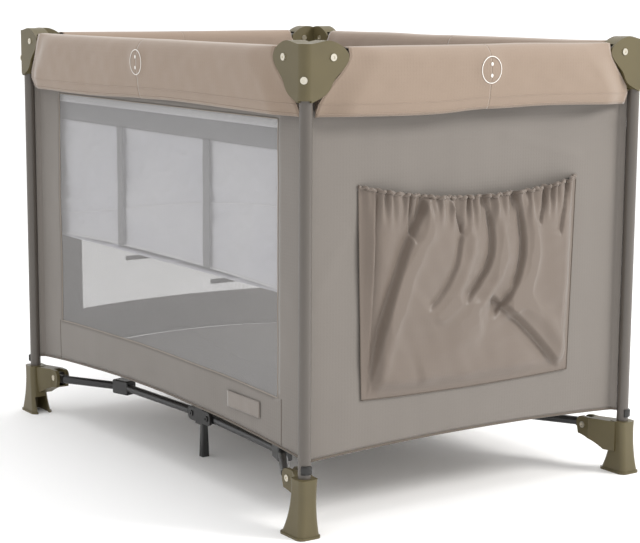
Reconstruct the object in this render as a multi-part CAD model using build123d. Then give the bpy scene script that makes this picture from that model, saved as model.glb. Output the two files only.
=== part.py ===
from build123d import *
from math import atan2
from math import degrees
from math import hypot
import os

# Travel play yard: a folding corner-post frame with fabric sides, a hanging bassinet and a mattress.
# Millimetres. +Z up, X along the long side, Y along the short side, origin on the floor at the middle.
# A corner is described by u and v, the distances inward from its post's axis along X and along Y.

# ---- overall frame
POST_SPACING_X = 958.0
POST_SPACING_Y = 662.0
POST_RADIUS = 10.0
POST_WALL = 1.3
POST_BOTTOM = 36.0
POST_TOP = 744.0
HX = POST_SPACING_X / 2
HY = POST_SPACING_Y / 2

# ---- pins and running clearances
PIN_RADIUS = 3.0
PIN_PLAY = 0.1
RIVET_HEAD_RADIUS = 5.5
RIVET_HEAD_THICKNESS = 1.6
RIVET_DIMPLE_RADIUS = 2.2
RIVET_DIMPLE_DEPTH = 1.0
SIDE_PLAY = 0.5
FAR = 60.0

# ---- top rails
RAIL_RADIUS = 9.5
RAIL_WALL = 1.2
RAIL_AXIS_Z = 726.0
RAIL_PIVOT_FROM_POST = 38.0
RAIL_PLUG_LENGTH = 16.0
RAIL_SLOT_HALF = RAIL_RADIUS + 2 * SIDE_PLAY

# ---- top corner brackets
BRACKET_TIP_Z = 660.0
BRACKET_PEAK_Z = 750.0
BRACKET_REACH = 67.0
BRACKET_DIP = 4.0
BRACKET_TIP_BLUNT = 3.0
BRACKET_WAIST_SHARE = 0.62
BRACKET_WAIST_ABOVE_TIP = 34.0
BRACKET_SHOULDER_DROP = 24.0
BRACKET_HALF_THICKNESS = 15.0
BRACKET_ROOF = 3.0
SLOT_MARGIN = 4.0
POST_RIVET_ABOVE_TIP = 33.0

# ---- centre latches of the rails
LATCH_PIVOT_FROM_CENTRE = 50.0
LATCH_CHEEK = 3.6
LATCH_END_MARGIN = 13.0
LATCH_TOP_Z = RAIL_AXIS_Z + 10.5
LATCH_BOTTOM_Z = 684.0
LATCH_CORNER = 10.0
LATCH_WEB_HALF = 30.0
LATCH_RAIL_GAP = 2.5
LATCH_BACK_WALL = 3.0
LATCH_SLOT_TRAVEL = 4.5
BUTTON_HALF_WIDTH = 17.0
BUTTON_HALF_HEIGHT = 15.0
BUTTON_Z = 704.0
BUTTON_PROUD = 9.0
BUTTON_TRAVEL = 4.0
BUTTON_PLAY = 0.6
BUTTON_END_GAP = 1.5
BUTTON_ROUND = 1.6

# ---- feet
FOOT_HEIGHT = 91.0
FOOT_NECK_HALF = 17.0
FOOT_WAIST_Z = 38.0
FOOT_WAIST_OUT = 18.0
FOOT_WAIST_IN_X = 22.0
FOOT_WAIST_IN_Y = 15.0
FOOT_BASE_OUT = 22.5
FOOT_BASE_IN_X = 36.0
FOOT_BASE_IN_Y = 17.0
FOOT_CORNER = 9.0
FOOT_LIP = 1.5
FOOT_LIP_HEIGHT = 3.5
FOOT_WALL = 4.5
FOOT_ARM_TOP_Z = 90.0
FOOT_ARM_HALF_WIDTH = 13.0
FOOT_ARM_END_MARGIN = 15.0
FOOT_ARM_SHOULDER = 14.0
FOOT_ARM_NOSE = 16.0
FOOT_ARM_ROUND = 13.0
FOOT_ARM_CHIN = 4.0
FOOT_ARM_ROOT = 2.0
FOOT_ARM_PLAN_STEP = 3.0
FOOT_ARM_DEPTH = 32.0
FOOT_ARCH_TOP_Z = 51.0

# ---- lower folding linkage
LINK_Z = 75.0
FOOT_PIVOT_U = 62.0
FOOT_PIVOT_V = 22.0
TUBE_RADIUS = 7.5
TUBE_WALL = 1.2
TUBE_LUG_RADIUS = 10.5
TUBE_LUG_THICKNESS = 12.0
ELBOW_U = 201.5
ELBOW_V = 90.0
ELBOW_LENGTH = 40.0
ELBOW_WIDTH = 25.0
ELBOW_HEIGHT = 27.0
ELBOW_ROUND = 3.0
MID_PIVOT_FROM_CENTRE = 26.0
MID_INSET_V = 104.0
MID_LUG_RADIUS = 9.0
MID_LUG_THICKNESS = 10.0
HUB_PLATE = 5.5
HUB_PLATE_MARGIN = 12.0
HUB_PLATE_ROUND = 8.0
HUB_BODY_HALF = 12.0
LUG_NECK_HALF_HEIGHT = 6.5
INNER_NECK_LENGTH = 20.0
ARM_PIVOT_FROM_TUBE = 22.0
ARM_PIVOT_FROM_CENTRE = 22.0
ARM_LUG_RADIUS = 8.0
ARM_LUG_THICKNESS = 12.0
LUG_NECK_LENGTH = 24.0
MID_LEG_HALF_TOP = 5.0
MID_LEG_HALF_FOOT = 7.0
MID_LEG_DEPTH_TOP = 12.0
MID_LEG_DEPTH_FOOT = 15.0
MID_LEG_CORNER = 3.0
HUB_BOTTOM_Z = 60.0
HUB_TOP_Z = 92.0
CENTRE_HUB_TOP_Z = 98.0
CENTRE_HUB_HALF = 10.0
HANDLE_TOP_Z = 150.0
HANDLE_HALF_WIDTH = 32.0
HANDLE_HALF_THICKNESS = 2.0
HANDLE_BAND = 12.0
HANDLE_CORNER = 12.0
HANDLE_INNER_CORNER = 7.0

# ---- fabric of the yard
FABRIC = 1.5
COVER_HALF_WIDTH = 20.0
COVER_TOP_Z = 742.0
COVER_BOTTOM_Z = 642.0
COVER_FROM_POST = 22.0
COVER_END_Z = 672.0
COVER_SHOULDER_Z = 728.0
COVER_BRACKET_GAP = 3.0
COVER_BUTTON_GAP = 1.5
PANEL_FROM_POST = 14.0
PANEL_TOP_Z = 655.0
PANEL_BOTTOM_Z = 112.0
PANEL_GAP = 1.0
FLOOR_Z = 108.0
FLOOR_HANDLE_HOLE = 38.0
POCKET_HALF_WIDTH = 220.0
POCKET_BOTTOM_Z = 189.0
POCKET_TOP_Z = 520.0
POCKET_DEPTH = 26.0
POCKET_GAP = 0.5
POCKET_CORNER = 12.0

# ---- bassinet and mattress
BASSINET_FROM_POST = 24.0
BASSINET_BOTTOM_Z = 357.0
BASSINET_TOP_Z = 690.0
BASSINET_ROD_RADIUS = 4.0
BASSINET_ROD_INSET = 150.0
BASSINET_ROD_GAP = 0.5
BASSINET_ROD_END_GAP = 8.0
MATTRESS_THICKNESS = 22.0
MATTRESS_SIDE_GAP = 7.0
MATTRESS_FLOOR_GAP = 1.0
MATTRESS_HINGE_GAP = 2.0
MATTRESS_CORNER = 8.0

CORNERS = {"fr": (1, -1), "fl": (-1, -1), "br": (1, 1), "bl": (-1, 1)}


def block(x0, x1, y0, y1, z0, z1):
    """A box between two opposite corners."""
    middle = Pos((x0 + x1) / 2, (y0 + y1) / 2, (z0 + z1) / 2)
    return middle * Box(abs(x1 - x0), abs(y1 - y0), abs(z1 - z0))


def rod_x(x0, x1, y, z, radius):
    """A round bar along X."""
    return Pos((x0 + x1) / 2, y, z) * Rot(0, 90, 0) * Cylinder(radius, abs(x1 - x0))


def rod_y(x, y0, y1, z, radius):
    """A round bar along Y."""
    return Pos(x, (y0 + y1) / 2, z) * Rot(90, 0, 0) * Cylinder(radius, abs(y1 - y0))


def rod_z(x, y, z0, z1, radius):
    """A round bar along Z."""
    return Pos(x, y, (z0 + z1) / 2) * Cylinder(radius, abs(z1 - z0))


def bar_in_plan(start, end, z, radius):
    """A round bar lying level between two plan points."""
    run_x = end[0] - start[0]
    run_y = end[1] - start[1]
    turn = degrees(atan2(run_y, run_x))
    middle = Pos((start[0] + end[0]) / 2, (start[1] + end[1]) / 2, z)
    return middle * Rot(0, 0, turn) * Rot(0, 90, 0) * Cylinder(radius, hypot(run_x, run_y))


def tube_in_plan(start, end, z, radius, wall):
    """A round tube lying level between two plan points."""
    return bar_in_plan(start, end, z, radius) - bar_in_plan(start, end, z, radius - wall)


def at_corner(shape, corner):
    """Moves a piece made for the +X +Y corner to another corner by mirroring it."""
    side_x, side_y = CORNERS[corner]
    if side_x < 0:
        shape = mirror(shape, about=Plane.YZ)
    if side_y < 0:
        shape = mirror(shape, about=Plane.XZ)
    return shape


def put(name, *solids):
    """Writes one node, whose separate solids stay separate."""
    flat = [solid for shape in solids for solid in shape.solids()]
    export_step(Compound(children=flat) if len(flat) > 1 else flat[0], f"parts/{name}.step")


# ---- corner pieces, made for the +X +Y corner


def post():
    tube = rod_z(HX, HY, POST_BOTTOM, POST_TOP, POST_RADIUS)
    return tube - rod_z(HX, HY, POST_BOTTOM, POST_TOP, POST_RADIUS - POST_WALL)


def lobe(half_thickness):
    """One heart-shaped lobe of a bracket, standing in the plane of the long rail."""
    peak_u = BRACKET_REACH * 0.52
    waist_u = BRACKET_REACH * BRACKET_WAIST_SHARE
    dip_z = BRACKET_PEAK_Z - BRACKET_DIP
    with BuildPart() as made:
        with BuildSketch(Plane.XZ.offset(-(HY + half_thickness))) as _:
            with BuildLine() as _:
                Spline(
                    (HX, dip_z),
                    (HX - peak_u, BRACKET_PEAK_Z),
                    (HX - BRACKET_REACH, BRACKET_PEAK_Z - BRACKET_SHOULDER_DROP),
                    (HX - waist_u, BRACKET_TIP_Z + BRACKET_WAIST_ABOVE_TIP),
                    (HX, BRACKET_TIP_Z),
                    tangents=[(-1, 0.1), (1, -0.35)],
                )
                Line((HX, BRACKET_TIP_Z), (HX, dip_z))
            make_face()
        extrude(amount=2 * half_thickness)
    return made.part


def swap_xy(shape):
    """Turns a corner's long-side piece into its short-side one, about the corner's diagonal."""
    moved = Pos(-HX, -HY, 0) * shape
    turned = mirror(moved, about=Plane(origin=(0, 0, 0), z_dir=(1, -1, 0)))
    return Pos(HX, HY, 0) * turned


def bracket():
    """The moulded corner: two heart lobes round the post, open below for the rails to fold into."""
    half = BRACKET_HALF_THICKNESS
    long_lobe = lobe(half)
    core = rod_z(HX, HY, BRACKET_TIP_Z + BRACKET_TIP_BLUNT, BRACKET_PEAK_Z - BRACKET_DIP, half)
    body = long_lobe + swap_xy(long_lobe) + core
    slot = block(
        HX - RAIL_PIVOT_FROM_POST + RAIL_RADIUS + SLOT_MARGIN,
        HX - BRACKET_REACH - FAR,
        HY - RAIL_SLOT_HALF,
        HY + RAIL_SLOT_HALF,
        BRACKET_TIP_Z - FAR,
        RAIL_AXIS_Z + RAIL_RADIUS + BRACKET_ROOF,
    )
    body = body - slot - swap_xy(slot)
    body = body - rod_z(HX, HY, BRACKET_TIP_Z - FAR, POST_TOP, POST_RADIUS)
    pin = rod_y(HX - RAIL_PIVOT_FROM_POST, HY - FAR, HY + FAR, RAIL_AXIS_Z, PIN_RADIUS)
    return body - pin - swap_xy(pin)


def rivet(x, y_low, y_high, z):
    """A rivet along Y, with a flat round dimpled head outside each end of the span that it clamps."""
    head = RIVET_HEAD_THICKNESS
    dimple = RIVET_DIMPLE_DEPTH
    made = rod_y(x, y_low, y_high, z, PIN_RADIUS)
    made += rod_y(x, y_low - head, y_low, z, RIVET_HEAD_RADIUS)
    made += rod_y(x, y_high, y_high + head, z, RIVET_HEAD_RADIUS)
    made -= rod_y(x, y_low - head, y_low - head + dimple, z, RIVET_DIMPLE_RADIUS)
    return made - rod_y(x, y_high + head - dimple, y_high + head, z, RIVET_DIMPLE_RADIUS)


def corner_rivets():
    """The rivets of a corner: two rail pins, the one through the post and that of the foot's arm."""
    half = BRACKET_HALF_THICKNESS
    head = RIVET_HEAD_THICKNESS
    rail_pin = rivet(HX - RAIL_PIVOT_FROM_POST, HY - half, HY + half, RAIL_AXIS_Z)
    outward = Pos(HX, HY, BRACKET_TIP_Z + POST_RIVET_ABOVE_TIP) * Rot(0, 0, 45) * Rot(0, 90, 0)
    depth = RIVET_DIMPLE_DEPTH
    post_rivet = Pos(0, 0, half + head / 2) * Cylinder(RIVET_HEAD_RADIUS, head)
    dimple = Pos(0, 0, half + head - depth / 2) * Cylinder(RIVET_DIMPLE_RADIUS, depth)
    foot_y = HY - FOOT_PIVOT_V
    arm = FOOT_ARM_HALF_WIDTH
    foot_pin = rivet(HX - FOOT_PIVOT_U, foot_y - arm, foot_y + arm, LINK_Z)
    return [rail_pin, swap_xy(rail_pin), outward * (post_rivet - dimple), foot_pin]


def foot_section(inward_x, inward_y, out, z, corner):
    """A level rounded outline round the post, by its reach inward along X and Y and outward."""
    place = Pos((out - inward_x) / 2, (out - inward_y) / 2, z)
    return place * RectangleRounded(out + inward_x, out + inward_y, corner)


def foot_boot(inset):
    """The boot of a foot, from its base through its waist to its neck, less an inset all round."""
    levels = (
        (FOOT_BASE_IN_X, FOOT_BASE_IN_Y, FOOT_BASE_OUT, 0),
        (FOOT_WAIST_IN_X, FOOT_WAIST_IN_Y, FOOT_WAIST_OUT, FOOT_WAIST_Z),
        (FOOT_NECK_HALF, FOOT_NECK_HALF, FOOT_NECK_HALF, FOOT_HEIGHT),
    )
    sections = []
    for inward_x, inward_y, out, z in levels:
        corner = FOOT_CORNER - inset
        sections.append(foot_section(inward_x - inset, inward_y - inset, out - inset, z, corner))
    return loft(sections)


def foot_arm():
    """The forked arm of a foot: a plan outline and an arched side outline, taken where both overlap."""
    end_u = FOOT_PIVOT_U + FOOT_ARM_END_MARGIN
    root_x = -FOOT_WAIST_IN_X + FOOT_ARM_ROOT
    round_x = -end_u + FOOT_ARM_ROUND
    near_y = -FOOT_PIVOT_V + FOOT_ARM_HALF_WIDTH
    far_y = -FOOT_PIVOT_V - FOOT_ARM_HALF_WIDTH
    shoulder_x = -FOOT_PIVOT_U + FOOT_ARM_SHOULDER
    neck = FOOT_NECK_HALF
    top = FOOT_ARM_TOP_Z
    under = top - FOOT_ARM_DEPTH
    nose = top - FOOT_ARM_NOSE
    under_x = -end_u + FOOT_ARM_CHIN
    arch_x = (round_x - FOOT_WAIST_IN_X) / 2
    with BuildPart() as plan:
        with BuildSketch(Plane.XY) as _:
            with BuildLine() as _:
                Polyline(
                    (0, neck - FOOT_ARM_PLAN_STEP),
                    (0, -neck),
                    (shoulder_x, far_y),
                    (-end_u, far_y),
                    (-end_u, near_y),
                    (shoulder_x, near_y),
                    (0, neck - FOOT_ARM_PLAN_STEP),
                )
            make_face()
        extrude(amount=FOOT_HEIGHT)
    with BuildPart() as side:
        with BuildSketch(Plane.XZ.offset(-FAR)) as _:
            with BuildLine() as _:
                Line((0, FOOT_WAIST_Z), (0, top))
                Line((0, top), (round_x, top))
                TangentArc((round_x, top), (-end_u, nose), tangent=(-1, 0))
                Line((-end_u, nose), (under_x, under))
                ThreePointArc((under_x, under), (arch_x, FOOT_ARCH_TOP_Z), (root_x, FOOT_WAIST_Z))
                Line((root_x, FOOT_WAIST_Z), (0, FOOT_WAIST_Z))
            make_face()
        extrude(amount=2 * FAR)
    return plan.part & side.part


def foot():
    """The moulded foot: a flared boot open towards the middle, and a forked arm for the lower tube."""
    wall = FOOT_WALL
    lip = FOOT_LIP
    lip_outline = foot_section(
        FOOT_BASE_IN_X + lip, FOOT_BASE_IN_Y + lip, FOOT_BASE_OUT + lip, 0, FOOT_CORNER + lip
    )
    body = foot_boot(0) + foot_arm() + extrude(lip_outline, amount=FOOT_LIP_HEIGHT)
    body = body - rod_z(0, 0, POST_BOTTOM, POST_BOTTOM + 2 * FAR, POST_RADIUS)
    room = foot_boot(wall)
    below_post = block(-FAR, FAR, -FAR, FAR, -1, POST_BOTTOM - wall)
    beside_post = block(-FAR, -POST_RADIUS - wall, -FAR, FAR, -1, FOOT_ARCH_TOP_Z)
    mouth = block(-FAR, 0, -FOOT_WAIST_IN_Y + wall, FOOT_WAIST_OUT - wall, -1, POST_BOTTOM - wall)
    body = body - (room & below_post) - (room & beside_post) - mouth
    gap = TUBE_LUG_THICKNESS / 2 + SIDE_PLAY
    slot_u = FOOT_PIVOT_U - TUBE_LUG_RADIUS - LATCH_RAIL_GAP
    slot_z = LINK_Z - TUBE_LUG_RADIUS - SLOT_MARGIN
    slot = block(-slot_u, -2 * FAR, -FOOT_PIVOT_V - gap, -FOOT_PIVOT_V + gap, slot_z, 2 * FAR)
    body = body - slot
    body = body - rod_y(-FOOT_PIVOT_U, -FAR, FAR, LINK_Z, PIN_RADIUS)
    return Pos(HX, HY, 0) * body


def lower_tube():
    """The two-part lower tube of a corner: lug, tube, elbow block, tube, lug."""
    y0 = HY - FOOT_PIVOT_V
    x0 = HX - FOOT_PIVOT_U
    half = TUBE_LUG_THICKNESS / 2
    start = (x0 - LUG_NECK_LENGTH, y0)
    elbow = (HX - ELBOW_U, HY - ELBOW_V)
    y2 = HY - MID_INSET_V
    end = (MID_PIVOT_FROM_CENTRE + INNER_NECK_LENGTH, y2)
    outer_lug = rod_y(x0, y0 - half, y0 + half, LINK_Z, TUBE_LUG_RADIUS)
    outer_lug += block(x0, start[0], y0 - half, y0 + half, LINK_Z - TUBE_RADIUS, LINK_Z + TUBE_RADIUS)
    outer_lug -= rod_y(x0, y0 - FAR, y0 + FAR, LINK_Z, PIN_RADIUS + PIN_PLAY)
    turn_1 = atan2(elbow[1] - start[1], elbow[0] - start[0])
    turn_2 = atan2(end[1] - elbow[1], end[0] - elbow[0])
    block_turn = degrees(turn_1 + turn_2) / 2
    elbow_block = Pos(elbow[0], elbow[1], LINK_Z) * Rot(0, 0, block_turn + 180)
    elbow_block = elbow_block * Box(ELBOW_LENGTH, ELBOW_WIDTH, ELBOW_HEIGHT)
    elbow_block = fillet(elbow_block.edges(), ELBOW_ROUND)
    outer_tube = tube_in_plan(start, elbow, LINK_Z, TUBE_RADIUS, TUBE_WALL) - elbow_block
    inner_tube = tube_in_plan(elbow, end, LINK_Z, TUBE_RADIUS, TUBE_WALL) - elbow_block
    inner_half = MID_LUG_THICKNESS / 2
    pivot_x = MID_PIVOT_FROM_CENTRE
    inner_lug = rod_y(pivot_x, y2 - inner_half, y2 + inner_half, LINK_Z, MID_LUG_RADIUS)
    neck = LUG_NECK_HALF_HEIGHT
    inner_lug += block(pivot_x, end[0], y2 - inner_half, y2 + inner_half, LINK_Z - neck, LINK_Z + neck)
    inner_lug -= rod_y(pivot_x, y2 - FAR, y2 + FAR, LINK_Z, PIN_RADIUS + PIN_PLAY)
    outer_tube = outer_tube - outer_lug
    inner_tube = inner_tube - inner_lug
    return [outer_lug, outer_tube, elbow_block, inner_tube, inner_lug]


# ---- rails and latches, made along X about the row's origin in plan


def half_rail(length_half, pinned):
    """A half rail on the +X side: bracket plug, tube and latch plug, perhaps with a sliding pin."""
    outer = length_half - RAIL_PIVOT_FROM_POST
    inner = LATCH_PIVOT_FROM_CENTRE
    hole = PIN_RADIUS + PIN_PLAY
    outer_plug = rod_x(outer - RAIL_PLUG_LENGTH, outer, 0, RAIL_AXIS_Z, RAIL_RADIUS)
    outer_plug += Pos(outer, 0, RAIL_AXIS_Z) * Sphere(RAIL_RADIUS)
    outer_plug -= rod_y(outer, -FAR, FAR, RAIL_AXIS_Z, hole)
    inner_plug = rod_x(inner, inner + RAIL_PLUG_LENGTH, 0, RAIL_AXIS_Z, RAIL_RADIUS)
    inner_plug += Pos(inner, 0, RAIL_AXIS_Z) * Sphere(RAIL_RADIUS)
    reach = RAIL_SLOT_HALF + LATCH_CHEEK
    if pinned:
        inner_plug += rod_y(inner, -reach, reach, RAIL_AXIS_Z, PIN_RADIUS)
    else:
        inner_plug -= rod_y(inner, -FAR, FAR, RAIL_AXIS_Z, hole)
    tube_start = inner + RAIL_PLUG_LENGTH
    tube_end = outer - RAIL_PLUG_LENGTH
    tube = rod_x(tube_start, tube_end, 0, RAIL_AXIS_Z, RAIL_RADIUS)
    tube -= rod_x(tube_start, tube_end, 0, RAIL_AXIS_Z, RAIL_RADIUS - RAIL_WALL)
    return [outer_plug, tube, inner_plug]


def oval(half_x, half_z, y_low, y_high, z):
    """An elliptical block along Y."""
    made = extrude(Plane.XZ.offset(-y_high) * Ellipse(half_x, half_z), amount=y_high - y_low)
    return Pos(0, 0, z) * made


def latch(fixed_side):
    """A rail latch: two cheeks and a centre web, open above for the rails. The outside is at -Y."""
    gap = RAIL_SLOT_HALF
    outer = gap + LATCH_CHEEK
    half_length = LATCH_PIVOT_FROM_CENTRE + LATCH_END_MARGIN
    body = block(-half_length, half_length, -outer, outer, LATCH_BOTTOM_Z, LATCH_TOP_Z)
    body = fillet(body.edges().filter_by(Axis.Y), LATCH_CORNER)
    room_low = RAIL_AXIS_Z - RAIL_RADIUS - LATCH_RAIL_GAP
    room_high = LATCH_TOP_Z + FAR
    for side in (-1, 1):
        web = side * LATCH_WEB_HALF
        body -= block(web, side * (half_length + FAR), -gap, gap, room_low, room_high)
    cavity_half_x = BUTTON_HALF_WIDTH + BUTTON_PLAY
    cavity_half_z = BUTTON_HALF_HEIGHT + BUTTON_PLAY
    body -= oval(cavity_half_x, cavity_half_z, -FAR, gap - LATCH_BACK_WALL, BUTTON_Z)
    for side in (-1, 1):
        x = side * LATCH_PIVOT_FROM_CENTRE
        if side == fixed_side:
            body += rod_y(x, -outer, outer, RAIL_AXIS_Z, PIN_RADIUS)
        else:
            half = PIN_RADIUS + PIN_PLAY
            travel = LATCH_SLOT_TRAVEL
            slot = block(x - travel, x + travel, -FAR, FAR, RAIL_AXIS_Z - half, RAIL_AXIS_Z + half)
            slot += rod_y(x - travel, -FAR, FAR, RAIL_AXIS_Z, half)
            slot += rod_y(x + travel, -FAR, FAR, RAIL_AXIS_Z, half)
            body -= slot
    return body


def latch_button():
    """The push button of a latch: an oval cap on a guide that slides into the latch, towards +Y."""
    outer = RAIL_SLOT_HALF + LATCH_CHEEK
    face = -outer - BUTTON_PROUD
    inner = RAIL_SLOT_HALF - LATCH_BACK_WALL - BUTTON_TRAVEL - BUTTON_END_GAP
    cap = oval(BUTTON_HALF_WIDTH, BUTTON_HALF_HEIGHT, face, inner, BUTTON_Z)
    rim = cap.faces().sort_by(Axis.Y)[0].edges()
    return fillet(rim, BUTTON_ROUND)


def cover_wall(length_half, y_low):
    """One wall of a rail cover, whose ends slope up beside the brackets."""
    low = length_half - COVER_FROM_POST
    high = length_half - BRACKET_REACH - COVER_BRACKET_GAP
    outline = Polyline(
        (-low, COVER_BOTTOM_Z),
        (low, COVER_BOTTOM_Z),
        (low, COVER_END_Z),
        (high, COVER_SHOULDER_Z),
        (high, COVER_TOP_Z),
        (-high, COVER_TOP_Z),
        (-high, COVER_SHOULDER_Z),
        (-low, COVER_END_Z),
        close=True,
    )
    return Pos(0, y_low + FABRIC, 0) * extrude(Plane.XZ * make_face(outline), amount=FABRIC)


def rail_cover(length_half):
    """The sleeve over a rail: an outer wall with a hole for the button, a top and an inner wall."""
    wide = COVER_HALF_WIDTH
    high = length_half - BRACKET_REACH - COVER_BRACKET_GAP
    hole_half_x = BUTTON_HALF_WIDTH + COVER_BUTTON_GAP
    hole_half_z = BUTTON_HALF_HEIGHT + COVER_BUTTON_GAP
    outer = cover_wall(length_half, -wide) - oval(hole_half_x, hole_half_z, -FAR, 0, BUTTON_Z)
    top = block(-high, high, -wide + FABRIC, wide - FABRIC, COVER_TOP_Z - FABRIC, COVER_TOP_Z)
    return [outer, top, cover_wall(length_half, wide - FABRIC)]


# ---- middle of the lower linkage


def tube_line_y():
    return HY - MID_INSET_V


def mid_hub():
    """The hub between two lower tubes of the +Y side, with forks for them and for the cross arm."""
    y = tube_line_y()
    tube_gap = MID_LUG_THICKNESS / 2 + SIDE_PLAY
    wide = tube_gap + HUB_PLATE
    margin = HUB_PLATE_MARGIN
    reach = MID_PIVOT_FROM_CENTRE + margin
    body = block(-HUB_BODY_HALF, HUB_BODY_HALF, y - wide, y + wide, HUB_BOTTOM_Z, HUB_TOP_Z)
    for low, high in ((y - wide, y - tube_gap), (y + tube_gap, y + wide)):
        plate = block(-reach, reach, low, high, LINK_Z - margin, LINK_Z + margin)
        body += fillet(plate.edges().filter_by(Axis.Y), HUB_PLATE_ROUND)
    arm_y = y - ARM_PIVOT_FROM_TUBE
    arm_gap = ARM_LUG_THICKNESS / 2 + SIDE_PLAY
    for side in (-1, 1):
        inner = side * arm_gap
        outer = side * (arm_gap + HUB_PLATE)
        body += block(inner, outer, arm_y - margin, y - tube_gap, LINK_Z - margin, LINK_Z + margin)
    for side in (-1, 1):
        body -= rod_y(side * MID_PIVOT_FROM_CENTRE, y - FAR, y + FAR, LINK_Z, PIN_RADIUS)
    return body - rod_x(-FAR, FAR, arm_y, LINK_Z, PIN_RADIUS)


def mid_hub_pins():
    y = tube_line_y()
    wide = MID_LUG_THICKNESS / 2 + SIDE_PLAY + HUB_PLATE
    arm_wide = ARM_LUG_THICKNESS / 2 + SIDE_PLAY + HUB_PLATE
    pins = [rivet(side * MID_PIVOT_FROM_CENTRE, y - wide, y + wide, LINK_Z) for side in (-1, 1)]
    return pins + [rod_x(-arm_wide, arm_wide, y - ARM_PIVOT_FROM_TUBE, LINK_Z, PIN_RADIUS)]


def mid_leg():
    """The slender leg under a mid hub, a little wider where it meets the floor."""
    y = tube_line_y()
    corner = MID_LEG_CORNER
    foot_sketch = Pos(0, y, 0) * RectangleRounded(2 * MID_LEG_HALF_FOOT, MID_LEG_DEPTH_FOOT, corner)
    top_outline = RectangleRounded(2 * MID_LEG_HALF_TOP, MID_LEG_DEPTH_TOP, corner)
    top_sketch = Pos(0, y, HUB_BOTTOM_Z) * top_outline
    return loft([foot_sketch, top_sketch])


def cross_arm():
    """The arm from the +Y mid hub to the centre hub."""
    outer = tube_line_y() - ARM_PIVOT_FROM_TUBE
    inner = ARM_PIVOT_FROM_CENTRE
    half = ARM_LUG_THICKNESS / 2
    neck = INNER_NECK_LENGTH
    high = LUG_NECK_HALF_HEIGHT
    pieces = []
    for y, direction in ((outer, -1), (inner, 1)):
        lug = rod_x(-half, half, y, LINK_Z, ARM_LUG_RADIUS)
        lug += block(-half, half, y, y + direction * neck, LINK_Z - high, LINK_Z + high)
        pieces.append(lug - rod_x(-FAR, FAR, y, LINK_Z, PIN_RADIUS + PIN_PLAY))
    tube = rod_y(0, inner + neck, outer - neck, LINK_Z, TUBE_RADIUS)
    return pieces + [tube - rod_y(0, inner + neck, outer - neck, LINK_Z, TUBE_RADIUS - TUBE_WALL)]


def centre_hub():
    """The hub in the middle, whose forks hold both cross arms on their own pins."""
    gap = ARM_LUG_THICKNESS / 2 + SIDE_PLAY
    wide = gap + HUB_PLATE
    margin = HUB_PLATE_MARGIN
    reach = ARM_PIVOT_FROM_CENTRE + margin
    body = block(-wide, wide, -CENTRE_HUB_HALF, CENTRE_HUB_HALF, HUB_BOTTOM_Z, CENTRE_HUB_TOP_Z)
    for side in (-1, 1):
        body += block(side * gap, side * wide, -reach, reach, LINK_Z - margin, LINK_Z + margin)
    for side in (-1, 1):
        body += rod_x(-wide, wide, side * ARM_PIVOT_FROM_CENTRE, LINK_Z, PIN_RADIUS)
    return body


def pull_handle():
    """The webbing loop on top of the centre hub, pulled up to fold the yard."""
    wide = HANDLE_HALF_WIDTH
    thick = HANDLE_HALF_THICKNESS
    band = HANDLE_BAND
    loop = block(-wide, wide, -thick, thick, CENTRE_HUB_TOP_Z, HANDLE_TOP_Z)
    loop = fillet(loop.edges().filter_by(Axis.Y), HANDLE_CORNER)
    inside = block(-wide + band, wide - band, -FAR, FAR, CENTRE_HUB_TOP_Z + band, HANDLE_TOP_Z - band)
    return loop - fillet(inside.edges().filter_by(Axis.Y), HANDLE_INNER_CORNER)


# ---- fabric


def long_panel():
    """The +Y side panel, just inside the posts."""
    reach = HX - PANEL_FROM_POST
    y = HY - PANEL_FROM_POST
    return block(-reach, reach, y - FABRIC, y, PANEL_BOTTOM_Z, PANEL_TOP_Z)


def short_panel():
    """The +X end panel, between the long panels."""
    reach = HY - PANEL_FROM_POST - FABRIC - PANEL_GAP
    x = HX - PANEL_FROM_POST
    return block(x - FABRIC, x, -reach, reach, PANEL_BOTTOM_Z, PANEL_TOP_Z)


def pocket():
    """The storage pocket on the +X end, a flat bag open at its top."""
    inner = HX - PANEL_FROM_POST + POCKET_GAP
    half = POCKET_HALF_WIDTH
    body = block(inner, inner + POCKET_DEPTH, -half, half, POCKET_BOTTOM_Z, POCKET_TOP_Z)
    body = fillet(body.edges().filter_by(Axis.Z).group_by(Axis.X)[-1], POCKET_CORNER)
    room = block(
        inner + FABRIC,
        inner + POCKET_DEPTH - FABRIC,
        -half + FABRIC,
        half - FABRIC,
        POCKET_BOTTOM_Z + FABRIC,
        POCKET_TOP_Z + FAR,
    )
    return body - fillet(room.edges().filter_by(Axis.Z).group_by(Axis.X)[-1], POCKET_CORNER - FABRIC)


def floor_sheet():
    """The sewn-in floor, with a hole for the pull handle."""
    inset = PANEL_FROM_POST + FABRIC + PANEL_GAP
    sheet = block(-HX + inset, HX - inset, -HY + inset, HY - inset, FLOOR_Z, FLOOR_Z + FABRIC)
    return sheet - rod_z(0, 0, FLOOR_Z - FAR, FLOOR_Z + FAR, FLOOR_HANDLE_HOLE)


def bassinet():
    """The hanging bassinet, an open tray sewn from a floor and four walls."""
    reach_x = HX - BASSINET_FROM_POST
    reach_y = HY - BASSINET_FROM_POST
    low = BASSINET_BOTTOM_Z
    high = BASSINET_TOP_Z
    inner = reach_x - FABRIC
    panels = [block(-reach_x, reach_x, -reach_y, reach_y, low, low + FABRIC)]
    for side in (-1, 1):
        y = side * reach_y
        panels.append(block(-reach_x, reach_x, y - side * FABRIC, y, low + FABRIC, high))
    for side in (-1, 1):
        wall_y = reach_y - FABRIC
        panels.append(block(side * inner, side * reach_x, -wall_y, wall_y, low + FABRIC, high))
    return panels


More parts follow.
